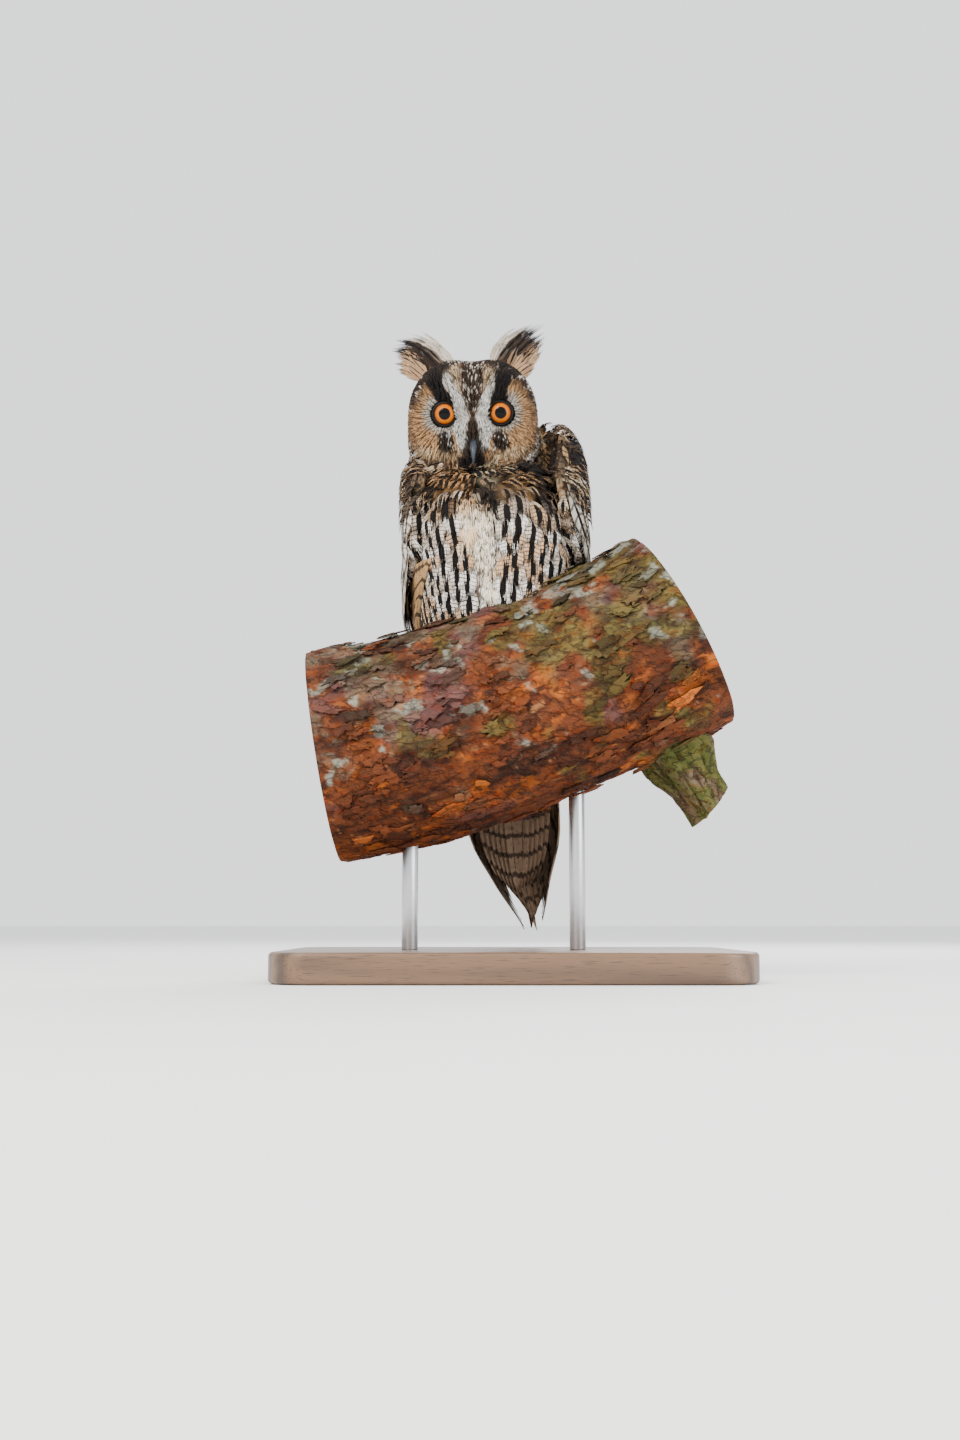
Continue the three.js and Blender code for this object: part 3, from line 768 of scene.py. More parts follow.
@dataclass(frozen=True)
class SkinFinish:
    """Down close to the skin, in the coat's own colours darkened by more than half as painted shade under the
    feathers.
    """

    def material(self) -> Material:
        """Makes the material, which reads ground from the mesh.

        Returns:
            The material.
        """
        r = Recipe("down")
        fine = r.noise(r.place((1, 1, 0.35)), 900, 3)
        # painted shade: the coat's colours taken more than halfway to near-black under the feathers
        colour = r.mix(0.55, r.attribute("ground"), (0.03, 0.022, 0.016))
        colour = r.shaded(colour, r.plus(fine, 0.5))
        return r.finish(colour, 0.9, fine, 0.0004, Specular_IOR_Level=0.05)


@dataclass(frozen=True)
class HornFinish:
    """Blue-black horn of the bill and claws, paler in soft clouds."""

    def material(self) -> Material:
        """Makes the material.

        Returns:
            The material.
        """
        r = Recipe("blue_black_horn")
        grain = r.noise(r.place((1, 1, 0.25)), 900, 3)
        cloudy = r.noise(r.place(), 160, 2)
        colour = r.mix(r.step(0.35, 0.75, cloudy), (0.008, 0.009, 0.012), (0.03, 0.037, 0.052))
        return r.finish(colour, r.step(0.2, 0.8, grain, (0.24, 0.42)), grain, 0.00006, Specular_IOR_Level=0.3)


@dataclass(frozen=True)
class EyeFinish:
    """An amber iris with a black pupil and rim under a wet cornea, drawn by the distance from its pole."""

    pupil: float = 3.55
    iris: float = 6.3

    def material(self) -> Material:
        """Makes the material, which reads each point's offset from the pole in millimetres.

        Returns:
            The material.
        """
        r = Recipe("amber_eye")
        uv = r.add("ShaderNodeUVMap", uv_map="Iris").outputs[0]
        far = r.add("ShaderNodeVectorMath", {0: uv}, operation="LENGTH").outputs["Value"]
        way = r.add("ShaderNodeVectorMath", {0: uv}, operation="NORMALIZE").outputs[0]
        rays = r.add("ShaderNodeVectorMath", {0: way, 1: (7.0, 7.0, 0.0)}, operation="MULTIPLY").outputs[0]
        deep = r.add("ShaderNodeCombineXYZ", {2: r.times(far, 0.3)}).outputs[0]
        spread = r.add("ShaderNodeVectorMath", {0: rays, 1: deep}, operation="ADD").outputs[0]
        fibres = r.noise(spread, 2.2, 4)
        depth = r.step(self.pupil, self.iris, r.plus(far, r.times(fibres, 1.2)))
        amber = r.mix(depth, (0.46, 0.14, 0.001), (0.3, 0.06, 0.001))
        amber = r.mix(r.step(0.42, 0.75, fibres, (0.0, 0.6)), amber, (0.55, 0.2, 0.002))
        inner = r.mix(r.step(self.pupil + 0.55, self.pupil + 0.1, far), amber, (0.18, 0.03, 0.002))
        outer = r.mix(r.step(self.iris - 0.9, self.iris - 0.05, far), inner, (0.1, 0.015, 0.001))
        centre = r.step(self.pupil + 0.14, self.pupil - 0.1, far)
        black = r.math("MAXIMUM", centre, r.step(self.iris - 0.1, self.iris + 0.2, far))
        colour = r.mix(black, outer, (0.003, 0.003, 0.003))
        return r.finish(colour, 0.4, Coat_Weight=0.35, Coat_Roughness=0.02, Coat_IOR=1.33,
                        Specular_IOR_Level=0.0)


@dataclass(frozen=True)
class LidFinish:
    """Bare black skin round an eye."""

    def material(self) -> Material:
        """Makes the material.

        Returns:
            The material.
        """
        r = Recipe("black_lid")
        fine = r.noise(r.place(), 1800, 2)
        colour = r.mix(fine, (0.002, 0.002, 0.002), (0.008, 0.007, 0.007))
        return r.finish(colour, 0.5, fine, 0.00008, Specular_IOR_Level=0.12)


@dataclass(frozen=True)
class BarkFinish:
    """Flaky bark, whose plates are coloured on the mesh, with fine scales, cracks darkened with painted
    shade, and dust.
    """

    name: str
    scale: float = 1.0

    def material(self) -> Material:
        """Makes the material, which reads ground from the mesh.

        Returns:
            The material.
        """
        r = Recipe(self.name)
        place = r.place((0.55, 1, 1), (0, -0.33, 0))
        fine = r.noise(place, 900 * self.scale, 5)
        grain = r.noise(place, 260 * self.scale, 4)
        ridged = r.math("ABSOLUTE", r.minus(r.noise(place, 120 * self.scale, 5), 0.5))
        ground = r.attribute("ground")
        colour = r.mix(r.step(0.5, 0.75, grain), ground, (0.5, 0.3, 0.2), "OVERLAY")
        # painted shade in the fine cracks, where the bump sinks
        colour = r.mix(r.step(0.02, 0.0, ridged, (0.0, 0.55)), colour, (0.03, 0.014, 0.008))
        shade = r.plus(r.times(fine, 0.7), r.times(grain, 0.5))
        colour = r.shaded(colour, r.plus(shade, 0.42))
        height = r.plus(r.plus(fine, grain), r.step(0.0, 0.04, ridged))
        rough = r.step(0.3, 0.7, grain, (0.75, 0.95))
        return r.finish(colour, rough, height, 0.0008, Specular_IOR_Level=0.12)


@dataclass(frozen=True)
class WoodFinish:
    """Stained wood with long grain and pores, satin."""

    def material(self) -> Material:
        """Makes the material.

        Returns:
            The material.
        """
        r = Recipe("dark_stained_wood")
        place = r.place((0.08, 1, 1))
        bend = r.noise(place, 14, 3)
        rings = r.add("ShaderNodeTexWave", {"Vector": place, "Scale": 34, "Distortion": 5.0, "Detail": 3.0,
                                            "Detail Scale": 1.4}, bands_direction="Y").outputs[1]
        pores = r.noise(r.place((0.05, 1, 1)), 1600, 2)
        colour = r.mix(rings, (0.05, 0.026, 0.014), (0.14, 0.075, 0.038))
        colour = r.mix(r.step(0.55, 0.75, pores), colour, (0.02, 0.01, 0.006))
        colour = r.mix(r.step(0.35, 0.7, bend, (0.0, 0.35)), colour, (0.2, 0.11, 0.055))
        return r.finish(colour, r.step(0.3, 0.8, pores, (0.34, 0.5)), pores, 0.00005, Coat_Weight=0.2,
                        Coat_Roughness=0.25)


@dataclass(frozen=True)
class SteelFinish:
    """Satin steel, brushed round the rod."""

    def material(self) -> Material:
        """Makes the material.

        Returns:
            The material.
        """
        r = Recipe("brushed_rod")
        brushed = r.noise(r.place((1, 1, 30)), 220, 3)
        colour = r.mix(brushed, (0.42, 0.42, 0.43), (0.62, 0.62, 0.63))
        return r.finish(colour, r.step(0.2, 0.8, brushed, (0.26, 0.42)), brushed, 0.00002, Metallic=1.0)


@dataclass(frozen=True)
class CutWoodFinish:
    """The pale cut end of the branch, with growth rings and drying cracks, coloured on the mesh."""

    def material(self) -> Material:
        """Makes the material, which reads ground from the mesh.

        Returns:
            The material.
        """
        r = Recipe("cut_pine")
        saw = r.noise(r.place((1, 0.12, 1)), 700, 3)
        fine = r.noise(r.place(), 1200, 3)
        colour = r.shaded(r.attribute("ground"), r.plus(r.times(saw, 0.5), 0.75))
        return r.finish(colour, 0.75, r.plus(saw, fine), 0.00025, Specular_IOR_Level=0.3)


# The coat: fields that say how feathers lie and what colours they have
def face_side(x: Array) -> Array:
    """1 on the owl's left half of the face and -1 on its right."""
    return np.where(x >= 0, 1.0, -1.0)


@dataclass(frozen=True)
class FaceMarks:
    """The pattern of the head, in the head's own frame."""

    tan: tuple = (212, 164, 118)
    pale_tan: tuple = (226, 198, 166)
    grey: tuple = (205, 200, 190)
    white: tuple = (236, 232, 224)
    black: tuple = (20, 17, 16)
    brown: tuple = (74, 56, 44)
    buff: tuple = (216, 178, 134)

    def colour(self, q: Array, rng: Generator) -> Array:
        """Ground colours for points in the head's frame.

        Args:
            q: rows of points.
            rng: the source of the small differences between neighbours.

        Returns:
            Rows of linear colours.
        """
        wander = stack(cloud(q, 5, 3), cloud(q, 5, 4), cloud(q, 5, 5))
        q = q + 0.7 * wander
        x, y, z = xyz(q)
        side = np.abs(x)
        outward = side - Head.EYE[0]
        to_eye = np.hypot(outward, z - Head.EYE[2])
        disc = Head.in_disc(q)
        front = smooth(6, -8, y)
        speck = rng.random(x.shape[:1] + (1,) * (x.ndim - 1)) + 0 * x
        lump = cloud(q, 3.2, 9)
        ray = np.sin(np.arctan2(z, outward) * 46 + 5 * wander[..., 0])
        rays = smooth(0.86, 1.0, ray) * smooth(13, 19, to_eye) * smooth(-3, 3, outward)
        # white brows, from above the eyes down beside the bill
        brow_x = np.interp(z, [-16, -10, -5, 0, 5, 10, 15, 20, 27, 33],
                           [5.6, 6.4, 7.6, 7.4, 6.2, 6.6, 8.2, 10.8, 15.4, 18.5])
        brow_w = np.interp(z, [-16, -8, 0, 8, 15, 24, 33], [2.6, 4.4, 5.0, 4.4, 4.2, 4.6, 3.0])
        brow = smooth(1.25, 0.75, np.abs(side - brow_x) / brow_w) * smooth(-19, -14, z) * smooth(33, 27, z)
        # black from each eye up to the tuft
        lean = 1.7 * smooth(14, 22, z) * -face_side(x)
        dark_x = np.interp(z, [4, 10, 14, 20, 26, 31, 36], [15.5, 16.6, 16.6, 18.4, 21.3, 22.5, 22.0]) + lean
        dark_w = np.interp(z, [4, 10, 14, 20, 26, 31, 36], [3.0, 6.4, 5.6, 4.6, 4.8, 7.4, 9.0])
        dark = smooth(1.25, 0.75, np.abs(side - dark_x) / dark_w) * smooth(4, 9, z)
        dark = dark * smooth(43, 36, z + 3 * lump)
        # the dark wedge of the forehead, speckled white, with buff streaks beside it
        wedge_w = np.interp(z, [6, 10, 18, 26, 36, 60], [1.0, 2.8, 5.2, 6.6, 8.0, 12.0])
        wedge = smooth(1.2, 0.8, side / wedge_w) * smooth(5.5, 8, z) * front
        beside = smooth(0.9, 1.3, side / wedge_w) * smooth(17, 27, z)
        beside = beside * smooth(1.3, 0.9, (side - wedge_w) / 6.0)
        # the dark line down to the bill, and dark bristles beside it
        line_w = np.interp(z, [-34, -24, -16, -8, 2, 7], [8.5, 7.0, 4.8, 3.1, 2.7, 1.0])
        line = smooth(1.3, 0.7, side / line_w) * smooth(8, 5.5, z)
        beard = smooth(-13, -16, z) * smooth(-21, -18, z) * smooth(20, 12, side)
        hair = cloud(q * [0.25, 1.0, 1.0], 1.5, 15)
        # the spotted patches under the eyes
        patch = smooth(1.15, 0.8, np.hypot((side - 17.0) / 5.6, (z + 11.5) / 7.6) + 0.15 * lump)
        colour = washed(
            even(q, self.tan),
            (self.pale_tan, 0.45 * smooth(0.0, 0.8, cloud(q, 8, 6))),
            ((160, 122, 72), 0.5 * smooth(16, 26, z) * smooth(19, 26, side)),
            (self.grey, 0.9 * smooth(15.5, 10.0, to_eye + 1.4 * lump)),
            ((236, 208, 168), 0.8 * smooth(-12, -17, z) * smooth(7, 12, side) * (speck > 0.35)),
            ((40, 31, 27), 0.9 * smooth(-19, -24, z + 2 * lump) * (speck > 0.42)),
            (self.brown, 0.75 * smooth(0.86, 0.98, disc + 0.03 * lump)),
            ((112, 80, 56), 0.6 * rays),
            (self.white, brow * front),
            (self.grey, 0.5 * brow * front * (speck > 0.6)),
            (self.black, dark * front),
            (self.black, smooth(8.1, 7.5, to_eye + 0.5 * smooth(0, -6, z))),
            ((66, 48, 40), wedge),
            ((222, 212, 198), 0.85 * wedge * (rng.random(x.shape) > 0.8)),
            ((214, 190, 158), 0.8 * beside * front),
            ((66, 48, 37), 0.85 * beside * (speck < 0.45) * front),
            (self.black, 0.95 * line * front),
            ((36, 28, 25), 0.9 * beard * smooth(-0.1, 0.3, hair)),
            (self.black, 0.95 * patch),
            (self.white, 0.9 * patch * (rng.random(x.shape) > 0.93)),
            ((206, 206, 204), smooth(1.9, 1.4, np.hypot(x + 15.6, z + 6.5))),
        )
        colour = self.outer(colour, q, disc, speck, front)
        # the black chin, the pale cheek on one side of it, and the dark roots of the tufts
        chin = smooth(10, 6, side + 0.8 * lump) * smooth(-19, -22, z) * front
        cheek = smooth(1.25, 0.8, np.hypot((x - 15) / 9.0, (z + 25 - 0.25 * (x - 15)) / 4.0)) * front
        root = smooth(1.2, 0.6, np.hypot((side - 23.5) / 10.5, (z - 34.5) / 8.0)) * smooth(12, 2, y)
        return washed(
            colour,
            ((18, 14, 13), 0.95 * chin),
            (dyed((226, 204, 168), (186, 146, 104), speck > 0.6), 0.85 * cheek),
            (dyed((30, 23, 20), (104, 82, 64), smooth(0.6, 1.0, speck) * smooth(27, 36, z)), 0.93 * root),
        )

    def outer(self, colour: Array, q: Array, disc: Array, speck: Array, front: Array) -> Array:
        """The speckled rim of the disc, and the crown and nape behind it.

        Args:
            colour: the face's colours.
            q: rows of points in the head's frame.
            disc: how far out in the disc they are.
            speck: a random number for each.
            front: how far they belong to the face.

        Returns:
            Rows of linear colours.
        """
        rim = smooth(0.97, 1.0, disc) * smooth(1.16, 1.08, disc) * smooth(16, 2, q[..., 1])
        pale = speck > mix(0.88, 0.3, smooth(-4, -16, q[..., 2]))
        nape = washed(
            even(q, (112, 86, 62)),
            (self.buff, 0.6 * (speck > 0.62)),
            ((46, 36, 31), 0.75 * (speck < 0.34)),
            ((196, 186, 172), 0.5 * ((speck > 0.42) & (speck < 0.52))),
        )
        return washed(
            colour,
            ((60, 46, 38), rim),
            (mix(ink(*self.pale_tan), ink(*self.white), 0.6), rim * pale),
            (nape, np.maximum(smooth(1.06, 1.14, disc), 1 - front)),
        )


BLOTCHES = (  # x, z, reach and colour of the patches of the throat
    (-12, 308, 10, (12, 10, 9)),
    (-8, 299, 6, (36, 27, 23)),
    (-3.5, 297, 5.5, (52, 38, 31)),
    (2, 290, 4.5, (34, 26, 23)),
    (-22, 305, 9.5, (206, 156, 108)),
    (-35, 308, 7, (198, 150, 106)),
    (-44, 303, 5.5, (46, 36, 32)),
    (-30, 296, 4.5, (54, 41, 34)),
    (-14, 296, 7, (204, 158, 112)),
    (-1, 313, 6.5, (226, 208, 174)),
    (8, 309, 5, (74, 54, 42)),
    (12.5, 302, 9.5, (142, 112, 82)),
    (28, 314, 9, (26, 20, 19)),
    (23, 304, 7, (192, 150, 106)),
    (9, 293, 5, (40, 30, 26)),
    (31, 298, 4.5, (50, 38, 32)),
)


def patch_share(p: Array) -> Array:
    """How far points lie on the plain cream patch down the middle of the breast, from 0 to 1.

    Args:
        p: rows of points.

    Returns:
        A share for each.
    """
    z = p[..., 2]
    half = np.interp(z, [226, 234, 244, 258, 272, 284, 291, 297], [0.4, 1.2, 2.6, 5.2, 9.0, 11.5, 9.5, 2.0])
    middle = np.interp(z, [230, 242, 256, 272, 286], [1.0, -0.5, -4.0, -8.0, -9.0])
    across = smooth(1.15, 0.85, np.abs(p[..., 0] - middle) / half)
    return across * smooth(222, 230, z) * smooth(298, 291, z) * (p[..., 1] < 10)


def body_colour(p: Array, rng: Generator) -> tuple[Array, Array, Array, Array]:
    """The plumage of neck, breast, belly and back, for each feather's place on the body.

    Args:
        p: rows of points about the perch.
        rng: the source of the differences between feathers.

    Returns:
        Ground colours, mark colours, the half width of the shaft streak and the strength of the bars.
    """
    x, y, z = xyz(turn(p, 2, -BODY_YAW))
    sight = p[..., 0]
    pick = rng.random(x.shape)
    lump = cloud(p, 16, 21)
    fine = cloud(p, 7, 22)
    patch = patch_share(p)
    streak = (0.27 + 0.08 * rng.random(x.shape)) * (1 - patch)
    barring = (0.6 + 0.4 * rng.random(x.shape)) * (1 - patch)
    breast = washed(
        even(p, (228, 212, 194)),
        ((250, 244, 236), 0.85 * (pick < 0.4)),
        ((232, 184, 138), 0.8 * (pick > 0.62)),
        ((196, 178, 162), 0.4 * smooth(0.1, 0.8, fine)),
        (dyed((255, 240, 216), (244, 208, 164), smooth(0.1, 0.8, fine) * 0.8), patch),
    )
    # the throat and upper breast: tan and orange-buff with dark blotches
    throat = smooth(279, 295, z + 6 * lump) * smooth(30, 6, y)
    tan = washed(
        even(p, (196, 160, 124)),
        ((228, 208, 176), (pick < 0.25) * 0.8),
        ((66, 49, 39), (pick > 0.74) * 0.9),
    )
    for at_x, at_z, reach, colour in BLOTCHES:
        near = np.hypot(sight - at_x, z - at_z + 3.5) / reach + 0.2 * fine
        tan = washed(tan, (colour, 0.96 * smooth(1.35, 0.75, near)))
    # the dark mottled back, and painted shade in the hollow over the raised wing
    back = smooth(4, 26, y + 4 * lump)
    dorsal = washed(
        even(p, (140, 116, 92)),
        ((168, 154, 138), 0.8 * smooth(0.0, 0.9, fine)),
        ((212, 162, 106), 0.75 * (pick > 0.6)),
        ((78, 60, 48), 0.7 * (pick < 0.22)),
    )
    # painted shade: most feathers in the hollow over the raised wing made near-black
    hollow_shade = smooth(18, 26, sight) * smooth(310, 318, z) * smooth(14, 4, y)
    ground = washed(breast, (tan, throat), (dorsal, back), ((40, 31, 27), hollow_shade * (pick < 0.7)))
    streak = mix(streak + 0.1 * throat * (pick > 0.5), 0.26 + 0.1 * pick, back)
    return ground, even(p, (22, 18, 17)), streak, mix(barring, 0.75, back)


class Skin:
    """One closed skin under the whole coat, and the way back to its nearest point and outward direction."""

    COAT = 5.2  # how deep the body's feathers stand over the skin
    FACE = 2.6  # how deep the head's do
    VOXEL = 1.7
    PADS = (
        ((-11, 16, 352), (-9, 25, 305), 30, 30),  # nape
        ((14, 12, 320), (30, 14, 342), 17, 13),  # the loose mantle feathers by the raised wing
        ((24, 12, 346), (52, 18, 331), 14, 11),
        ((-36, 10, 316), (-44, 12, 330), 12, 8),
    )

    def __init__(self) -> None:
        """Makes the skin from the head, trunk, wing arms and legs, melted into one surface."""
        bm = bmesh.new()
        pads = [self.arm(wing) for wing in WINGS.values()] + [self.pad(*sizes) for sizes in self.PADS]
        for part in [self.head(), self.trunk()] + pads + Foot.cores():
            mesh = bpy.data.meshes.new("part")
            part.to_mesh(mesh)
            part.free()
            bm.from_mesh(mesh)
            bpy.data.meshes.remove(mesh)
        rough = made(bm, "rough_skin")
        bpy.context.scene.collection.objects.link(rough)
        remesh = rough.modifiers.new("melt", "REMESH")
        remesh.mode = "VOXEL"
        remesh.voxel_size = self.VOXEL * MM
        ease = rough.modifiers.new("ease", "SMOOTH")
        ease.factor = 0.5
        ease.iterations = 3
        graph = bpy.context.evaluated_depsgraph_get()
        mesh = bpy.data.meshes.new_from_object(rough.evaluated_get(graph))
        bpy.data.objects.remove(rough)
        mesh.name = "down_skin"
        mesh.shade_smooth()
        self.mesh = mesh
        self.points = read_points(mesh)
        faces = [tuple(face.vertices) for face in mesh.polygons]
        self.tree = BVHTree.FromPolygons([Vector(p) for p in self.points], faces)
        normals = np.array([v.vector for v in mesh.vertex_normals])
        self.corners = np.array([face[:4] if len(face) > 3 else (*face, face[0]) for face in faces])
        self.normals = unit(normals[self.corners].mean(1))

    @classmethod
    def head(cls) -> BMesh:
        """The head, inside its feathers."""
        return ball(lambda around, away: Head.place(Head.surface(around, away, -cls.FACE)), 120, 90)

    @classmethod
    def trunk(cls) -> BMesh:
        """The neck, breast, belly and back, inside their feathers.

        Returns:
            The mesh.
        """
        def place(around: Array, away: Array) -> Array:
            """Points of the trunk, drawn in to its middle line at both ends."""
            t = away / math.pi
            z = mix(334.0, 178.0, np.clip((t - 0.05) / 0.9, 0, 1))
            near = np.clip(t / 0.05, 0, 1) * np.clip((1 - t) / 0.05, 0, 1)
            middle = (TRUNK.at(0.0, z) + TRUNK.at(math.pi, z)) / 2
            return mix(middle, TRUNK.at(around, z, -cls.COAT), near[..., None])
        return ball(place, 96, 80)

    @classmethod
    def arm(cls, wing: FoldedWing) -> BMesh:
        """The folded arm of a wing, as a flat pad on the trunk's side.

        Args:
            wing: the wing's sheet.

        Returns:
            The mesh.
        """
        def place(around: Array, away: Array) -> Array:
            """Points of a rounded box laid on the wing's sheet."""
            s = stack(np.sin(away) * np.cos(around), np.sin(away) * np.sin(around), np.cos(away))
            box = s / (np.abs(s) ** 6).sum(-1, keepdims=True) ** (1 / 6)
            return wing.at(0.5 + 0.47 * box[..., 0], 0.15 + 0.145 * box[..., 2], -2.2 + 4.0 * box[..., 1])
        return ball(place, 48, 40)

    @classmethod
    def pad(cls, low: Row, high: Row, r_low: float, r_high: float) -> BMesh:
        """A round pad of plumage between two places."""
        ends = np.array([low, high], float)
        return tube(lambda t: mix(ends[0], ends[1], t[..., None]), lambda t: mix(r_low, r_high, t), 40, 40,
                    cap=0.45)

    def nearest(self, p: Array) -> tuple[Array, Array]:
        """The skin's nearest points to rows of points, and its outward directions there.

        Args:
            p: rows of points.

        Returns:
            Rows of points and of unit vectors.
        """
        spots = np.empty(p.shape)
        normals = np.empty(p.shape)
        for i, q in enumerate(p):
            spot, _, face, _ = self.tree.find_nearest(Vector(q))
            spots[i] = spot
            normals[i] = self.normals[face]
        return spots, normals

    def scatter(self, spacing: Pair, least: float, seed: int) -> Array:
        """Places spread over the skin, none nearer to another than the spacing there.

        Args:
            spacing: gives the spacing in millimetres for points and outward directions; 0 leaves them out.
            least: the smallest spacing, which sets how many places are tried.
            seed: the seed of the draw.

        Returns:
            Rows of points.
        """
        rng = default_rng(seed)
        a, b, c = (self.points[self.corners[:, k]] for k in (0, 1, 2))
        area = np.linalg.norm(np.cross(b - a, c - a), axis=1)
        wanted = spacing((a + c) / 2, self.normals)
        area = np.where(wanted > 0, area, 0)
        count = int(area.sum() / (0.3 * least ** 2))
        face = rng.choice(len(area), count, p=area / area.sum())
        d = self.points[self.corners[face, 3]]
        s, t = rng.random((2, count, 1))
        p = mix(mix(a[face], b[face], s), mix(d, c[face], s), t)
        gap = spacing(p, self.normals[face])
        tree = KDTree(count)
        for i, q in enumerate(p):
            tree.insert(q, i)
        tree.balance()
        free = gap > 0
        kept = []
        for i in range(count):
            if free[i]:
                kept.append(i)
                for _, j, _ in tree.find_range(p[i], gap[i]):
                    free[j] = False
        return p[kept]

    def trace(self, roots: Array, lie: Line, length: Array, parts: int, sway: Array) -> tuple[Array, Array]:
        """The lines that feathers follow over the skin from their roots.

        Args:
            roots: rows of points.
            lie: gives the direction that feathers point for rows of points.
            length: the feathers' lengths.
            parts: steps along a feather.
            sway: how far each feather is turned from the lie, as a share of its length.

        Returns:
            The points of the lines and the outward directions there, by feather and step.
        """
        p, n = self.nearest(roots)
        spine, out = [p], [n]
        for _ in range(parts):
            d = lie(p)
            d = unit(d - (d * n).sum(-1, keepdims=True) * n)
            d = unit(d + np.cross(n, d) * sway[:, None])
            p, n = self.nearest(p + d * (length / parts)[:, None])
            spine.append(p)
            out.append(n)
        return np.stack(spine, 1), np.stack(out, 1)

    def dress(self) -> Object:
        """The skin as a piece, coloured as its coat is.

        Returns:
            The piece.
        """
        rng = default_rng(5)
        colours = body_colour(self.points, rng)[0]
        on_head = on_head_share(self.points)
        colours = mix(colours, FaceMarks().colour(Head.local(self.points), rng), on_head[:, None])
        paint(self.mesh, "ground", colours)
        spread = unwrapped(self.points)
        loops = np.empty(len(self.mesh.loops), np.int32)
        self.mesh.loops.foreach_get("vertex_index", loops)
        starts = np.empty(len(self.mesh.polygons), np.int32)
        self.mesh.polygons.foreach_get("loop_start", starts)
        corners = spread[loops]
        first = np.repeat(corners[starts], np.diff(np.append(starts, len(loops))), axis=0)
        # a face that crosses the opening down the back stays whole, on one side of it
        corners[:, 0] += np.round((first[:, 0] - corners[:, 0]) / UNWRAP_WIDTH) * UNWRAP_WIDTH
        layer = self.mesh.uv_layers.new(name="OFBake")
        layer.data.foreach_set("uv", corners.astype(np.float32).ravel())
        self.mesh.materials.append(SkinFinish().material())
        limbs = [f"{limb}_{side.name.lower()}" for limb in ("leg", "foot") for side in Side]
        obj = bpy.data.objects.new("down_skin", self.mesh)
        return joined(obj, "breast_plumage", ["head", "neck", "torso"] + limbs)


def unwrapped(p: Array) -> Array:
    """Each point's place on an unwrap of the skin round its upright middle line, opened down the back.

    Args:
        p: rows of points.

    Returns:
        Rows of two numbers from 0 to 1.
    """
    x, y, z = p[..., 0] + 4, p[..., 1] - mix(4.0, 45.0, smooth(320, 220, p[..., 2])), p[..., 2]
    crown = smooth(352, 376, z) * np.maximum(46 - np.hypot(x, y), 0) * 0.8
    return np.stack([0.5 + UNWRAP_WIDTH * np.arctan2(x, -y) / (2 * math.pi), (z - 20 + crown) / 440], axis=-1)


def on_head_share(p: Array) -> Array:
    """How much points belong to the head rather than to the neck, from 0 to 1.

    Args:
        p: rows of points.

    Returns:
        A share for each.
    """
    q = Head.local(p)
    size = stack(44.0, np.where(q[..., 1] < 0, 34.0, 44.0), 46.0)
    above = smooth(-43, -34, q[..., 2] + 0.35 * np.maximum(q[..., 1], 0))
    return smooth(1.12, 1.0, np.sqrt(((q / size) ** 2).sum(-1))) * above


@dataclass
class Lock:
    """How a feather is built from narrow flat locks of barbs that lie side by side and fray at its margin."""

    count: int = 9
    parts: int = 3
    rounding: float = 0.3  # how much shorter the outer locks are
    fray: float = 0.14
    overlap: float = 1.5
    thick: float = 0.22
    sink: float = 1.0
    rise: float = 5.0  # the height of the tip over the skin
    early: float = 0.45  # where along the feather it has risen
    camber: float = 45.0  # the radius of the curve across it
    curl: float = 0.0


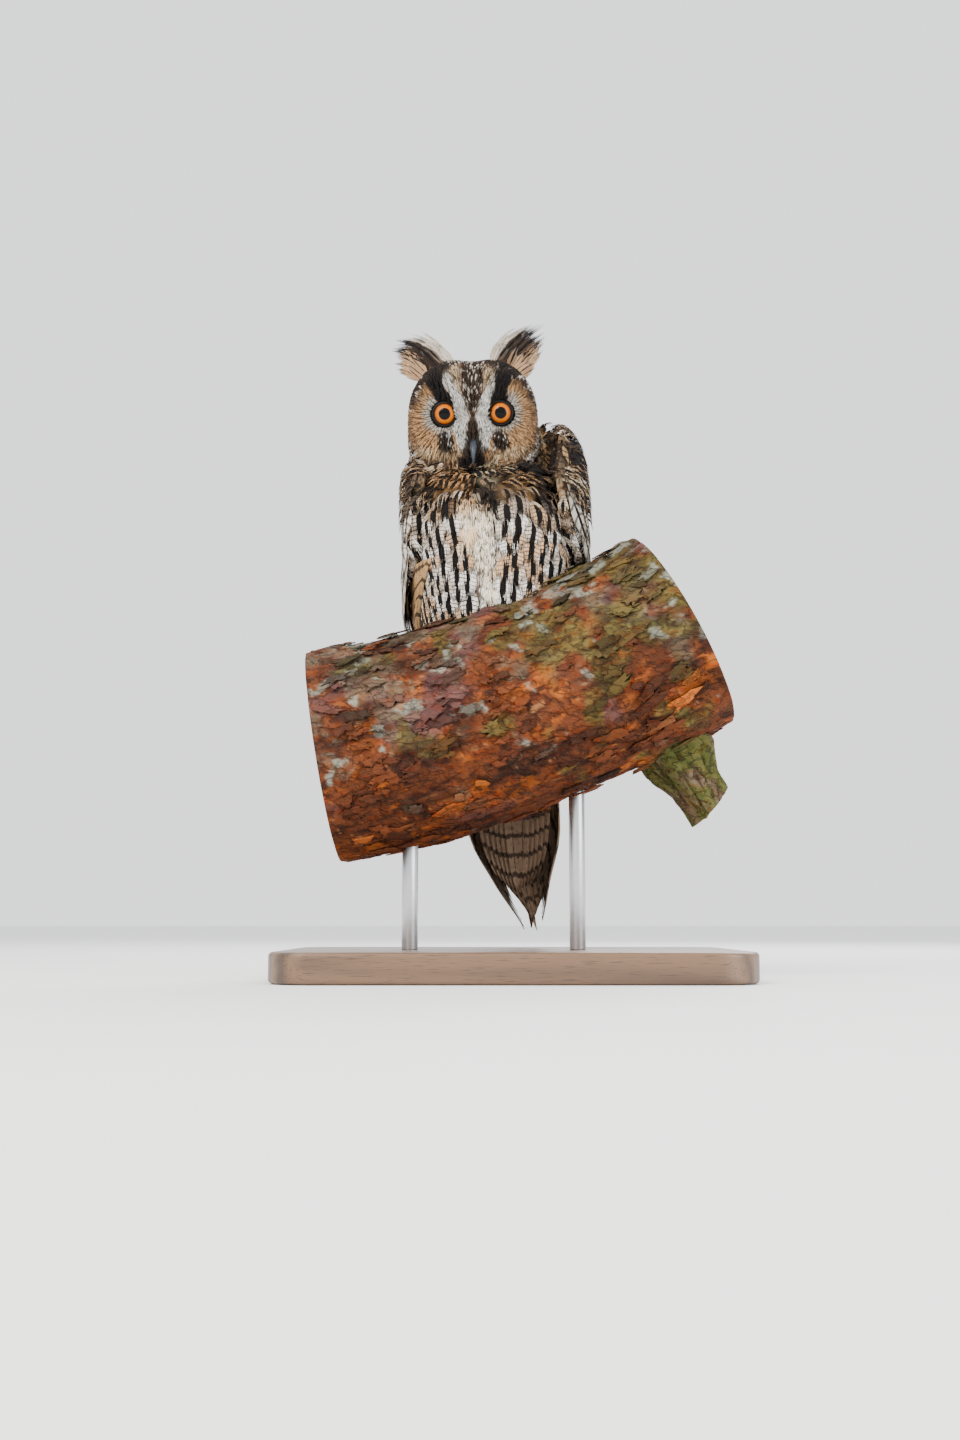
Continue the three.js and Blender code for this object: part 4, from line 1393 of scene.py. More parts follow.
class Coat:
    """Feathers collected as arrays and joined into meshes."""

    LIMIT = 190000  # triangles in one piece

    def __init__(self, name: str, slot: str, finish: Material, nodes: Sequence[str] = ()) -> None:
        """Starts an empty coat.

        Args:
            name: the piece's name, numbered where there is more than one piece.
            slot: the record's material slot.
            finish: the material.
            nodes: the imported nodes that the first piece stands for.
        """
        self.name = name
        self.slot = slot
        self.finish = finish
        self.nodes = nodes
        self.batches: list[dict] = []

    def put(self, points: Array, faces: Faces, u: Array, v: Array, roots: Array,
            ground: Array, mark: Array, streak: Array, barring: Array, patch: float = 0.003,
            home: Array | None = None) -> None:
        """Adds like shapes.

        Args:
            points: by shape and corner.
            faces: the corners of one shape's faces.
            u: by shape and corner, across the feather from 0 to 1.
            v: along it.
            roots: the place of each shape's root.
            ground: colours by shape and corner.
            mark: the marks' colour by shape.
            streak: the half width of the shaft streak by shape.
            barring: the strength of the bars by shape.
            patch: the size of each feather's patch on the bake map.
            home: the middle of each feather's patch, if not at its root's place on the skin's unwrap.
        """
        count = points.shape[1]
        home = unwrapped(roots) if home is None else home
        span = np.stack([u - 0.5, v - 0.5], axis=-1) * patch
        self.batches.append({
            "points": points, "faces": faces, "vane": np.stack([u, v], axis=-1), "bake": home[:, None] + span,
            "ground": ground, "mark": np.repeat(mark[:, None], count, 1),
            "streak": np.repeat(streak[:, None], count, 1), "barring": np.repeat(barring[:, None], count, 1),
        })

    def feathers(self, spine: Array, out: Array, half: Array, lock: Lock, seed: int, tint: Pair, mark: Array,
                 streak: Array, barring: Array) -> None:
        """Adds feathers made of locks along lines over the skin.

        Args:
            spine: the points of each feather's line.
            out: the outward directions there.
            half: half widths.
            lock: how the feathers are built.
            seed: the seed of the fraying.
            tint: gives ground colours from points by feather and place, and from how far along each one is.
            mark: the colour of streaks and bars.
            streak: the half width of the shaft streak.
            barring: the strength of the bars.
        """
        rng = default_rng(seed)
        n, k, r = len(spine), lock.count, lock.parts
        lateral = np.linspace(-1, 1, k) if k > 1 else np.zeros(1)
        lateral = lateral[None] + rng.normal(0, 0.35 / k, (n, k)) * (k > 1)
        reach = 1 - lock.rounding * np.abs(lateral) ** 2.2 - lock.fray * rng.random((n, k))
        s = np.linspace(0, 1, r + 1)
        v = reach[..., None] * s
        spread = mix(0.25, 1.0, smooth(0.0, 0.45, v)) * (1 - 0.3 * smooth(0.6, 1.05, v))
        x = half[:, None, None] * lateral[..., None] * spread
        wide = half[:, None, None] / k * lock.overlap
        wide = wide * mix(0.6, 1.0, smooth(0, 0.35, s)) * np.sqrt(1 - s ** 3)
        steps = spine.shape[1] - 1
        place = np.clip(v, 0, 1) * steps
        i = np.minimum(place.astype(int), steps - 1)
        f = (place - i)[..., None]
        row = np.arange(n)[:, None, None]
        centre = mix(spine[row, i], spine[row, i + 1], f)
        normal = unit(mix(out[row, i], out[row, i + 1], f))
        ahead = np.gradient(spine, axis=1)
        ahead = unit(mix(ahead[row, i], ahead[row, i + 1], f))
        side = np.cross(ahead, normal)
        lift = (lock.rise + lock.sink) * smooth(-0.05, lock.early, v) - lock.sink
        lift = lift + lock.curl * np.maximum(v - 0.5, 0) ** 2
        lift = lift + rng.normal(0, 0.1 * lock.thick + 0.03 * lock.rise, (n, k, 1)) * v
        corners = []
        across = []
        for edge, thick in ((-1, 0), (0, lock.thick), (1, 0)):
            at = x + edge * wide
            h = lift - at ** 2 / (2 * lock.camber) + thick * np.sqrt(1 - 0.9 * s ** 2)
            corners.append(centre + side * at[..., None] + normal * h[..., None])
            across.append(0.5 + 0.5 * at / half[:, None, None])
        ground = tint(centre + side * x[..., None], v)
        ground = ground * (1 + 0.07 * rng.normal(size=(n, k, 1, 1)))
        points, u, v, ground = (self.by_corner(a) for a in (
            np.stack(corners, 3), np.stack(across, 3), np.repeat(v[..., None], 3, 3),
            np.repeat(ground[:, :, :, None], 3, 3)))
        size = 3 * r + 1
        faces = [(2, 1, 0)]
        for a in range(0, 3 * r - 3, 3):
            faces += [(a, a + 1, a + 4, a + 3), (a + 1, a + 2, a + 5, a + 4), (a + 2, a, a + 3, a + 5)]
        a = 3 * r - 3
        faces += [(a, a + 1, a + 3), (a + 1, a + 2, a + 3), (a + 2, a, a + 3)]
        faces = [tuple(corner + size * j for corner in face) for j in range(k) for face in faces]
        self.put(points, faces, u, v, spine[:, 0], ground, mark, streak, barring)

    @staticmethod
    def by_corner(a: Array) -> Array:
        """Values by feather, lock, step and edge as rows by feather and corner, one corner at each tip.

        Args:
            a: the values.

        Returns:
            The values, rearranged.
        """
        n, k, steps = a.shape[:3]
        body = a[:, :, :-1].reshape(n, k, 3 * steps - 3, *a.shape[4:])
        return np.concatenate([body, a[:, :, -1:, 1]], axis=2).reshape(n, k * (3 * steps - 2), *a.shape[4:])

    def pieces(self) -> list[Object]:
        """The collected feathers as joined pieces, each below the limit of triangles.

        Returns:
            The pieces.
        """
        groups: list[list[dict]] = [[]]
        room = self.LIMIT
        for batch in self.batches:
            each = sum(len(face) - 2 for face in batch["faces"])
            start = 0
            while start < len(batch["points"]):
                if room < each:
                    groups.append([])
                    room = self.LIMIT
                stop = min(len(batch["points"]), start + room // each)
                part = {key: value if key == "faces" else value[start:stop] for key, value in batch.items()}
                groups[-1].append(part)
                room -= each * (stop - start)
                start = stop
        names = [self.name] if len(groups) == 1 else [f"{self.name}_{n + 1}" for n in range(len(groups))]
        nodes = [self.nodes] + [()] * (len(groups) - 1)
        return [self.piece(*sizes) for sizes in zip(names, groups, nodes)]

    def piece(self, name: str, group: list[dict], nodes: Sequence[str]) -> Object:
        """One joined mesh.

        Args:
            name: its name.
            group: the batches in it.
            nodes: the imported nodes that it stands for.

        Returns:
            The piece.
        """
        def gather(key: str) -> Array:
            """The group's values of one kind, corner after corner."""
            return np.concatenate([batch[key].reshape(-1, *batch[key].shape[2:]) for batch in group])
        loops, totals, base = [], [], 0
        for batch in group:
            count, size = batch["points"].shape[:2]
            corners = np.concatenate([np.array(face) for face in batch["faces"]])
            offsets = base + np.arange(count)[:, None] * size
            loops.append((corners[None] + offsets).ravel())
            totals.append(np.tile([len(face) for face in batch["faces"]], count))
            base += count * size
        loops, totals = np.concatenate(loops), np.concatenate(totals)
        mesh = bpy.data.meshes.new(name)
        mesh.vertices.add(base)
        mesh.vertices.foreach_set("co", metres(gather("points")).astype(np.float32).ravel())
        mesh.loops.add(len(loops))
        mesh.loops.foreach_set("vertex_index", loops.astype(np.int32))
        mesh.polygons.add(len(totals))
        starts = np.cumsum(totals) - totals
        mesh.polygons.foreach_set("loop_start", starts.astype(np.int32))
        mesh.update(calc_edges=True)
        mesh.shade_smooth()
        for key, title in (("vane", "Vane"), ("bake", "OFBake")):
            layer = mesh.uv_layers.new(name=title)
            layer.data.foreach_set("uv", gather(key)[loops].astype(np.float32).ravel())
        mesh.uv_layers["Vane"].active_render = True
        for key in ("ground", "mark"):
            paint(mesh, key, gather(key))
        for key in ("streak", "barring"):
            values = mesh.attributes.new(key, "FLOAT", "POINT").data
            values.foreach_set("value", gather(key).astype(np.float32))
        mesh.materials.append(self.finish)
        return joined(bpy.data.objects.new(name, mesh), self.slot, nodes)


# Feather directions
def head_lie(p: Array) -> Array:
    """Which way the head's feathers point: out from each eye, up over the crown, and down the nape.

    Args:
        p: rows of points.

    Returns:
        Rows of directions.
    """
    q = Head.local(p)
    x, y, z = q[..., 0], q[..., 1], q[..., 2]
    sign = face_side(x)
    side = np.abs(x)
    radial = unit(stack(x - sign * Head.EYE[0], 0.0, z - Head.EYE[2]))
    inner = smooth(15, 9, side - 0.42 * np.maximum(z - 6, 0)) * smooth(-20, -8, z)
    above = smooth(0, 6, z)
    lores = unit(stack(-0.18 * sign, -0.1, -1.0 + 0 * z))
    brow = unit(stack(sign * 0.42, 0.3, 1.0 + 0 * z))
    centre = unit(stack(sign * 0.12, 0.5, 1.0 + 0 * z))
    up = mix(brow, centre, smooth(7, 3, side)[..., None])
    flow = mix(lores, up, above[..., None])
    d = mix(radial, flow, inner[..., None])
    behind = np.maximum(smooth(0.95, 1.1, Head.in_disc(q)), smooth(-10, 4, y))
    back = unit(stack(0.25 * x / 40, 1.0, -0.75 + 0 * z))
    d = mix(d, back, behind[..., None])
    return turn(turn(d, 1, Head.ROLL), 0, Head.PITCH)


def body_lie(p: Array) -> Array:
    """Which way the body's feathers point: down, drawing together over the belly, and out from the chin.

    Args:
        p: rows of points.

    Returns:
        Rows of directions.
    """
    x, y, z = p[..., 0], p[..., 1], p[..., 2]
    sway = 0.22 * cloud(p, 26, 41, 1)
    down = stack(-0.16 * (x + 1) / 40 * smooth(300, 240, z) + sway, 0.0, -1.0)
    chin = unit(stack(x + 12, 0.25 * np.abs(x + 12), z - 338))
    return mix(down, chin, (smooth(286, 312, z) * smooth(20, -10, y))[..., None])


def tube(centre: Line, radius: Line, around: int, away: int, flat: float = 1.0, cap: float = 0.2) -> BMesh:
    """A closed round body along a line.

    Args:
        centre: gives points of the middle line from 0 to 1 along it.
        radius: gives the radius there.
        around: faces round it.
        away: faces along it.
        flat: its height as a share of its width.
        cap: how much of each end is rounded off.

    Returns:
        The mesh.
    """
    def place(turned: Array, fall: Array) -> Array:
        """Points round the line, drawn in to it at the rounded ends."""
        t = fall / math.pi
        ahead = unit(centre(np.minimum(t + 0.01, 1)) - centre(np.maximum(t - 0.01, 0)))
        side = unit(np.cross(ahead, [0.05, 1.0, 0.1]))
        up = np.cross(side, ahead)
        end = np.sqrt(np.clip(1 - (np.maximum(0, np.abs(2 * t - 1) - 1 + 2 * cap) / (2 * cap)) ** 2, 0, 1))
        r = (radius(t) * end)[..., None]
        return centre(t) + side * r * np.cos(turned)[..., None] + up * r * flat * np.sin(turned)[..., None]
    return ball(place, around, away)


# The branch
@dataclass
class Perch:
    """The cut length of pine, with its flaky bark, sawn ends, loose flakes and mossy side stub."""

    radius: float = 66.0
    low: float = -104.0
    high: float = 120.0
    height: float = 164.3
    slope: float = 0.345
    bend: float = 0.00085
    around: int = 318
    rings: int = 300
    end_rings: int = 20
    flakes: int = 420
    colours: Array | None = None
    ends: Array | None = None

    def level(self, x: Array) -> Array:
        """The height of the middle line at x along the branch."""
        return self.height + self.slope * x + self.bend * x * x

    def rise(self, x: Array) -> Array:
        """How steeply the middle line rises there."""
        return self.slope + 2 * self.bend * x

    def at(self, x: Array, angle: Array, r: Array) -> Array:
        """Points at x along the branch, at an angle from its top to the front, r from its middle line.

        Args:
            x: along the branch.
            angle: in radians.
            r: the distances.

        Returns:
            Rows of points.
        """
        x, r = np.asarray(x, float), np.asarray(r, float)
        up = unit(stack(-self.rise(x), 0.0, 1.0))
        middle = stack(x, 0.0, self.level(x))
        return middle + up * (r * np.cos(angle))[..., None] - stack(0.0, r * np.sin(angle), 0.0)

    def depth(self, p: Array) -> Array:
        """How far points stand outside the log's bark."""
        x, y, z = xyz(p)
        return np.hypot((z - self.level(x)) / np.sqrt(1 + self.rise(x) ** 2), y) - self.radius

    def bark(self, x: Array, angle: Array) -> tuple[Array, Array]:
        """The height of the bark over its mean surface, and its colour.

        Args:
            x: along the branch.
            angle: in radians.

        Returns:
            Heights and rows of linear colours.
        """
        raw = stack(x, self.radius * np.cos(angle), self.radius * np.sin(angle))
        spot = raw * [0.5, 1.0, 1.0]
        spot = spot + 2.4 * stack(cloud(raw, 9, 61), cloud(raw, 9, 62), cloud(raw, 9, 63))
        heap = 0.5 + 0.36 * cloud(spot, 11, 64, 3) + 0.1 * cloud(spot, 3.2, 60, 2)
        level = np.floor(heap * 8)
        part = heap * 8 - level
        tone = 0.5 + 0.42 * cloud(spot + 3.0 * level[..., None], 8, 58, 2)
        chip = 0.5 + 0.5 * cloud(spot, 2.2, 57, 2)
        furrow = smooth(0.18, -0.25, heap - 0.12)
        # the lower side of each plate's edge, for the painted shadow under it
        edge = smooth(0.16, 0.0, part)
        height = 5.0 * (level / 8 - 0.45) + 0.3 * part + 0.25 * (chip - 0.5) - 1.0 * furrow
        height = np.clip(height, -3.2, 1.9) + 0.15 * cloud(raw, 1.6, 65)
        top = np.cos(angle)
        mauve = smooth(0.2, 0.8, cloud(raw, 20, 66) + 0.5 * top + 0.4 * (tone - 0.5))
        grey = smooth(0.15, 0.8, cloud(raw, 15, 67) + 0.45 * top - 0.05 + 0.5 * (chip - 0.5))
        moss = smooth(0.05, 0.6, cloud(raw, 17, 68) + 0.45 * top + 0.004 * x - 0.12 + 0.5 * (tone - 0.5))
        lichen = smooth(0.7, 1.0, cloud(raw, 11, 69, 3) + 0.35 * top + 0.35 * (chip - 0.5))
        ember = smooth(0.2, 0.8, cloud(raw, 19, 59) - 0.5 * top)
        colour = washed(
            even(raw, (112, 62, 38)),
            ((166, 90, 44), smooth(0.55, 0.95, tone)),
            ((58, 36, 28), smooth(0.5, 0.15, tone)),
            ((184, 124, 78), 0.6 * smooth(0.8, 1.05, chip)),
            ((96, 54, 36), 0.6 * smooth(0.35, 0.1, chip)),
            (dyed((78, 56, 58), (122, 90, 88), tone), 0.7 * mauve),
            (dyed((84, 74, 58), (142, 132, 110), chip), 0.55 * grey),
            (dyed((54, 54, 30), (112, 106, 58), 1.4 * chip - 0.2), 0.75 * moss),
            ((160, 166, 152), 0.6 * lichen),
            ((196, 108, 46), 0.6 * ember * smooth(0.5, 0.85, tone)),
            ((40, 27, 20), 0.5 * smooth(0.1, 0.8, cloud(raw * [0.6, 1.0, 1.0], 13, 88))),
            # painted shade in the sunk furrows and painted shadow under the lifted edges of the plates
            ((38, 24, 18), np.clip(0.85 * furrow + 0.65 * edge, 0, 0.92)),
        )
        # painted shade: the whole bark made darker towards the top of the log
        return height, colour * mix(0.94, 0.74, smooth(0.3, 0.95, top))[..., None]

    def place(self, turned: Array, fall: Array) -> Array:
        """Points of the log from the middle of one sawn end, along its bark, to the middle of the other.

        Args:
            turned: angles round the log, from its top.
            fall: 0 to pi from end to end.

        Returns:
            Rows of points.
        """
        step = fall / math.pi * self.rings
        start = np.clip(step / self.end_rings, 0, 1)
        stop = np.clip((self.rings - step) / self.end_rings, 0, 1)
        t = np.clip((step - self.end_rings) / (self.rings - 2 * self.end_rings), 0, 1)
        x = mix(self.low, self.high, t)
        inward = np.minimum(start, stop)
        wave = 0.66 * np.sin(turned * 3 + x * 0.05)
        bark, colour = self.bark(x, turned)
        rim = smooth(0.0, 0.02, np.minimum(t, 1 - t))
        r = (self.radius + wave + bark * mix(0.35, 1.0, rim)) * inward
        self.ends = inward < 0.995
        self.colours = np.where(self.ends[..., None], self.sawn(x, turned, r), colour)
        return self.at(x, turned, r)

    def sawn(self, x: Array, turned: Array, r: Array) -> Array:
        """The colours of the sawn ends: growth rings round a dark heart, drying cracks and a rim of bark.

        Args:
            x: along the branch.
            turned: angles round the log.
            r: distances from its middle line.

        Returns:
            Rows of linear colours.
        """
        spot = stack(x, r * np.cos(turned), r * np.sin(turned))
        grain = r + 1.2 * cloud(spot, 22, 71)
        ring = 0.5 + 0.5 * np.sin(grain * 1.15)
        crack = np.abs(np.sin(turned * 2.5 + 0.4 + 0.2 * cloud(spot, 14, 72)))
        crack = smooth(0.035, 0.0, crack) * smooth(8, 22, r)
        return washed(
            dyed((222, 186, 136), (178, 122, 74), ring ** 3),
            ((150, 92, 52), 0.6 * smooth(20, 6, grain)),
            ((64, 40, 26), 0.8 * crack * smooth(58, 40, r)),
            ((96, 50, 32), smooth(57.0, 58.5, grain)),
        )

    def build(self) -> None:
        """Makes the log, its loose flakes, its moss and its stub."""
        bark = BarkFinish("flaky_pine_bark").material()
        log = made(ball(self.place, self.around, self.rings), "pine_log")
        paint(log.data, "ground", self.colours)
        for finish in (bark, CutWoodFinish().material()):
            log.data.materials.append(finish)
        for face in log.data.polygons:
            face.material_index = int(all(self.ends[v] for v in face.vertices))
        joined(log, "pine_bark", ["perch"])
        self.loose_flakes(bark)
        Stub(self).build()

    def loose_flakes(self, bark: Material) -> None:
        """Thin scales of bark that lift from the log at one edge.

        Args:
            bark: the material.
        """
        rng = default_rng(77)
        n, wide, deep = self.flakes, 5, 4
        x = rng.uniform(self.low + 8, self.high - 8, n)
        angle = rng.uniform(-math.pi, math.pi, n)
        size = rng.uniform(1.6, 3.6, n)
        stretch = rng.uniform(1.4, 3.0, n)
        lean = rng.uniform(-0.4, 0.4, n)
        a, b = np.meshgrid(np.linspace(-1, 1, wide + 1), np.linspace(-1, 1, deep + 1), indexing="ij")
        round_off = np.sqrt(1 - 0.42 * np.minimum(1, a ** 2 * b ** 2 + 0.25 * (a ** 4 + b ** 4)))
        a, b = (a * round_off).ravel(), (b * round_off).ravel()
        jag = 1 + 0.3 * rng.normal(size=(n, len(a))) * (np.maximum(np.abs(a), np.abs(b)) > 0.7)
        da = size[:, None] * stretch[:, None] * a * jag
        db = size[:, None] * b * jag
        px = x[:, None] + da * np.cos(lean)[:, None] - db * np.sin(lean)[:, None]
        pa = angle[:, None] + (da * np.sin(lean)[:, None] + db * np.cos(lean)[:, None]) / self.radius
        px = np.clip(px, self.low + 1, self.high - 1)
        base, colour = self.bark(x, angle)
        lifted = rng.uniform(0.2, 1.1, n)[:, None] * (0.5 + 0.5 * b) ** 2
        rng.normal(size=n)  # keeps the order of the draws that follow
        layers = []
        for thick in (0.75, 0.0):
            r = self.radius + base[:, None] * 0.7 + 0.6 + lifted + thick
            layers.append(self.at(px, pa, r))
        points = np.concatenate(layers, axis=1)
        count = len(a)
        faces = slab_faces(np.arange(count).reshape(wide + 1, deep + 1).T)
        flat = np.zeros((n, 2 * count))
        ground = np.repeat(colour[:, None], 2 * count, 1) * rng.uniform(0.75, 1.25, (n, 1, 1))
        # painted shade: each flake's underside at 0.6 of the colour of its top
        ground = ground * np.where(np.arange(2 * count) < count, 1.0, 0.6)[None, :, None]
        coat = Coat("bark_flakes", "pine_bark", bark)
        home = np.stack([(x - self.low) / 240 + 0.02, angle / 6.6 + 0.5], axis=-1)
        across, along_it = (flat + np.tile(k, 2)[None] / 2 + 0.5 for k in (a, b))
        none = np.zeros(n)
        coat.put(points, faces, across, along_it, points[:, 0], ground, colour * 0, none, none, 0.008, home)
        coat.pieces()


@dataclass
class Stub:
    """The mossy stump of a side branch under the log."""

    log: Perch
    x: float = 83.0
    radius: float = 16.0
    length: float = 62.0
    lean: tuple = (0.52, 0.12, -0.85)
    colours: Array | None = None

    def place(self, turned: Array, fall: Array) -> Array:
        """Points of the stub from inside the log to its broken end.

        Args:
            turned: angles round the stub.
            fall: 0 to pi from end to end.

        Returns:
            Rows of points.
        """
        lean = unit(np.array(self.lean))
        side = unit(np.cross([0, 1.0, 0], lean))
        back = np.cross(lean, side)
        t = np.clip(fall / math.pi * 1.1, 0, 1)
        inward = np.clip((math.pi - fall) / (0.1 * math.pi / 1.1), 0, 1) * np.clip(fall / 0.06, 0, 1)
        reach = self.log.radius + self.length - 20
        flare = mix(1.5, 1.0, smooth(0.45, 0.8, t))
        lump = stack(np.cos(turned) * 16, np.sin(turned) * 16, t * reach * 0.35)
        border = np.abs(cloud(lump * [1.0, 1.0, 0.3], 4.5, 85))
        flake = 0.5 + 0.5 * cloud(lump, 3, 86)
        ridge = 0.7 * np.sin(turned * 5 + 3 * t) + 1.4 * cloud(lump, 6, 81, 3) - smooth(0.12, 0.0, border)
        r = (self.radius * flare + ridge) * np.minimum(inward, 1)
        base = np.array([self.x, 0, self.log.level(self.x)])
        far = reach * mix(0.35, 1.0, t) + 5 * np.cos(turned) * smooth(0.9, 1.0, t) * inward
        far = far + 2.5 * cloud(lump, 3, 82) * smooth(0.97, 1.0, t) * smooth(1.0, 0.6, inward)
        up = np.cos(turned) * side[2] + np.sin(turned) * back[2]
        moss = smooth(-0.5, 0.35, cloud(lump, 8, 83) + 0.5 * up + 0.25)
        self.colours = washed(
            even(lump, (104, 84, 66)),
            ((138, 124, 104), 0.6 * smooth(0.4, 0.9, flake)),
            ((98, 100, 52), 0.9 * moss),
            ((66, 74, 34), 0.6 * moss * smooth(0.0, 0.6, cloud(lump, 4, 84))),
            # painted shade in the sunk grooves between the stub's bark flakes
            ((40, 30, 24), 0.6 * smooth(0.12, 0.0, border)),
            ((150, 116, 76), smooth(0.8, 0.6, inward) * (t > 0.9)),
        )
        p = base + lean * far[..., None]
        return p + side * (r * np.cos(turned))[..., None] + back * (r * np.sin(turned))[..., None]

    def build(self) -> None:
        """Makes the stub."""
        stub = made(ball(self.place, 130, 150), "mossy_stub")
        paint(stub.data, "ground", self.colours)
        stub.data.materials.append(BarkFinish("mossy_stub_bark", 1.4).material())
        joined(stub, "mossy_bark", ["perch_stub"])


PERCH = Perch()


# Legs, feet and claws
@dataclass(frozen=True)
class Toe:
    """One toe over the branch: how far it spreads along it and reaches round it, in degrees."""

    name: str
    spread: float
    reach: float
    claw: float
    size: float


TOES = (Toe("inner", -9, 17, 8, 4.1), Toe("middle", 1, 19, 9, 4.3), Toe("outer", 11, -16, -8, 3.9),
        Toe("hind", -6, -17, -8, 3.8))


@dataclass(frozen=True)
class Foot:
    """A feathered foot on the branch, with its leg and four claws."""

    side: Side
    x: float
    ankle: float = -7 * DEG
    inset: float = 1.5

    def toe(self, toe: Toe) -> BMesh:
        """The flesh of a toe, inside its down.

        Args:
            toe: which toe.

        Returns:
            The mesh.
        """
        def centre(t: Array) -> Array:
            """The toe's middle line over the bark."""
            return PERCH.at(self.x + self.side.value * toe.spread * t, self.ankle + toe.reach * DEG * t,
                            PERCH.radius + toe.size + 1.2 + 0 * t)
        return tube(centre, lambda t: toe.size * (mix(1.1, 0.78, t) + 0.06 * np.cos(t * 19)) - self.inset,
                    20, 24)

    def leg(self) -> BMesh:
        """The shank up into the belly feathers."""
        low = PERCH.at(self.x, self.ankle, PERCH.radius + 4)
        return tube(lambda t: low + stack(0 * t, 7 * t, 34 * t), lambda t: mix(5.6, 9.5, t), 24, 20)

    def claw(self, toe: Toe) -> BMesh:
        """A claw: a curved tapering horn from the end of its toe.

        Args:
            toe: whose claw.

        Returns:
            The mesh.
        """
        def centre(t: Array) -> Array:
            """The claw's middle line, arched over the bark."""
            angle = self.ankle + (toe.reach * 0.93 + toe.claw * t) * DEG
            height = 4.4 + 2.0 * np.sin(t * 2.2) - 3.0 * t * t
            x = self.x + self.side.value * toe.spread * (0.93 + 0.15 * t)
            return PERCH.at(x, angle, PERCH.radius + height)
        return tube(centre, lambda t: mix(1.9, 0.35, t ** 0.8), 16, 22, cap=0.06)

    @staticmethod
    def cores() -> list[BMesh]:
        """The flesh of both legs and feet."""
        return [part for foot in FEET for part in [foot.leg()] + [foot.toe(toe) for toe in TOES]]

    def build(self, horn: Material) -> None:
        """Makes the claws.

        Args:
            horn: the material.
        """
        name = self.side.name.lower()
        for toe in TOES:
            claw = made(self.claw(toe), f"talon_{name}_{toe.name}")
            claw.data.materials.append(horn)
            joined(claw, "horn", [f"claw_{name}_{toe.name}"])


FEET = (Foot(Side.LEFT, 40), Foot(Side.RIGHT, 11))


def foot_share(p: Array) -> Array:
    """Whether points lie on the toes, from 0 to 1.

    Args:
        p: rows of points.

    Returns:
        A share for each.
    """
    x, y, z = p[..., 0], p[..., 1], p[..., 2]
    share = np.zeros(x.shape)
    for foot in FEET:
        middle = PERCH.at(foot.x, foot.ankle, PERCH.radius)
        height = z - middle[2] - PERCH.slope * 1.05 * (x - middle[0]) + (y - middle[1]) ** 2 / 140
        near = smooth(22, 17, np.abs(x - middle[0])) * smooth(30, 24, np.abs(y - middle[1]))
        share = np.maximum(share, near * smooth(13, 10, height))
    return share


# The head
@dataclass
class EyePair:
    """Both eyes with their rings of bare lid."""

    bulge: float = 0.4
    lid_middle: float = 7.2
    lid_thick: float = 0.8

    def build(self) -> None:
        """Makes the eyeballs and the lids."""
        amber, black = EyeFinish().material(), LidFinish().material()
        for side in Side:
            name = side.name.lower()
            eye = Head.EYE * [side.value, 1, 1]
            self.eyeball(eye, name, amber)
            self.lid(eye, name, black)

    def eyeball(self, eye: Array, name: str, amber: Material) -> None:
        """Makes one eyeball, mapped by how far its points are from the pole in front.

        Args:
            eye: its middle in the head's frame.
            name: left or right.
            amber: the material.
        """
        spots = []

        def place(around: Array, away: Array) -> Array:
            """Points of the ball with its bulging cornea, whose places on the map are kept."""
            out = np.sin(away)
            far = np.where(away < math.pi / 2, out, 2 - out) * Head.EYE_RADIUS
            spots.append(np.stack([far * np.cos(around), far * np.sin(around)], -1))
            front = self.bulge * smooth(0.82, 0.3, out) * (away < math.pi / 2)
            return Head.place(eye + stack(out * np.cos(around) * Head.EYE_RADIUS,
                                          -np.cos(away) * Head.EYE_RADIUS - front,
                                          out * np.sin(around) * Head.EYE_RADIUS))

        obj = made(ball(place, 72, 56), f"eye_{name}_ball")
        loops = np.array([loop.vertex_index for loop in obj.data.loops])
        obj.data.uv_layers.new(name="Iris").data.foreach_set("uv", spots[0][loops].astype(np.float32).ravel())
        obj.data.materials.append(amber)
        joined(obj, "eye", [f"eye_{name}"])

    def lid(self, eye: Array, name: str, black: Material) -> None:
        """Makes the ring of bare lid round an eye.

        Args:
            eye: its middle in the head's frame.
            name: left or right.
            black: the material.
        """
        bm = bmesh.new()
        made_ring = bmesh.ops.create_circle(bm, cap_ends=False, radius=self.lid_thick, segments=12)
        bmesh.ops.translate(bm, verts=made_ring["verts"], vec=(self.lid_middle, 0, 0))
        bmesh.ops.spin(bm, geom=bm.verts[:] + bm.edges[:], cent=(0, 0, 0), axis=(0, 1, 0), dvec=(0, 0, 0),
                       angle=2 * math.pi, steps=56, use_merge=True, use_duplicate=False)
        depth = math.sqrt(Head.EYE_RADIUS ** 2 - Head.OPENING ** 2)
        for vert in bm.verts:
            x, y, z = vert.co
            q = eye + [x, y * 0.9 - depth - 0.35 + 0.05 * abs(x), z * 0.985]
            vert.co = metres(Head.place(q))
        bmesh.ops.recalc_face_normals(bm, faces=bm.faces)
        ring = made(bm, f"lid_{name}")
        ring.data.materials.append(black)
        joined(ring, "face_plumage")


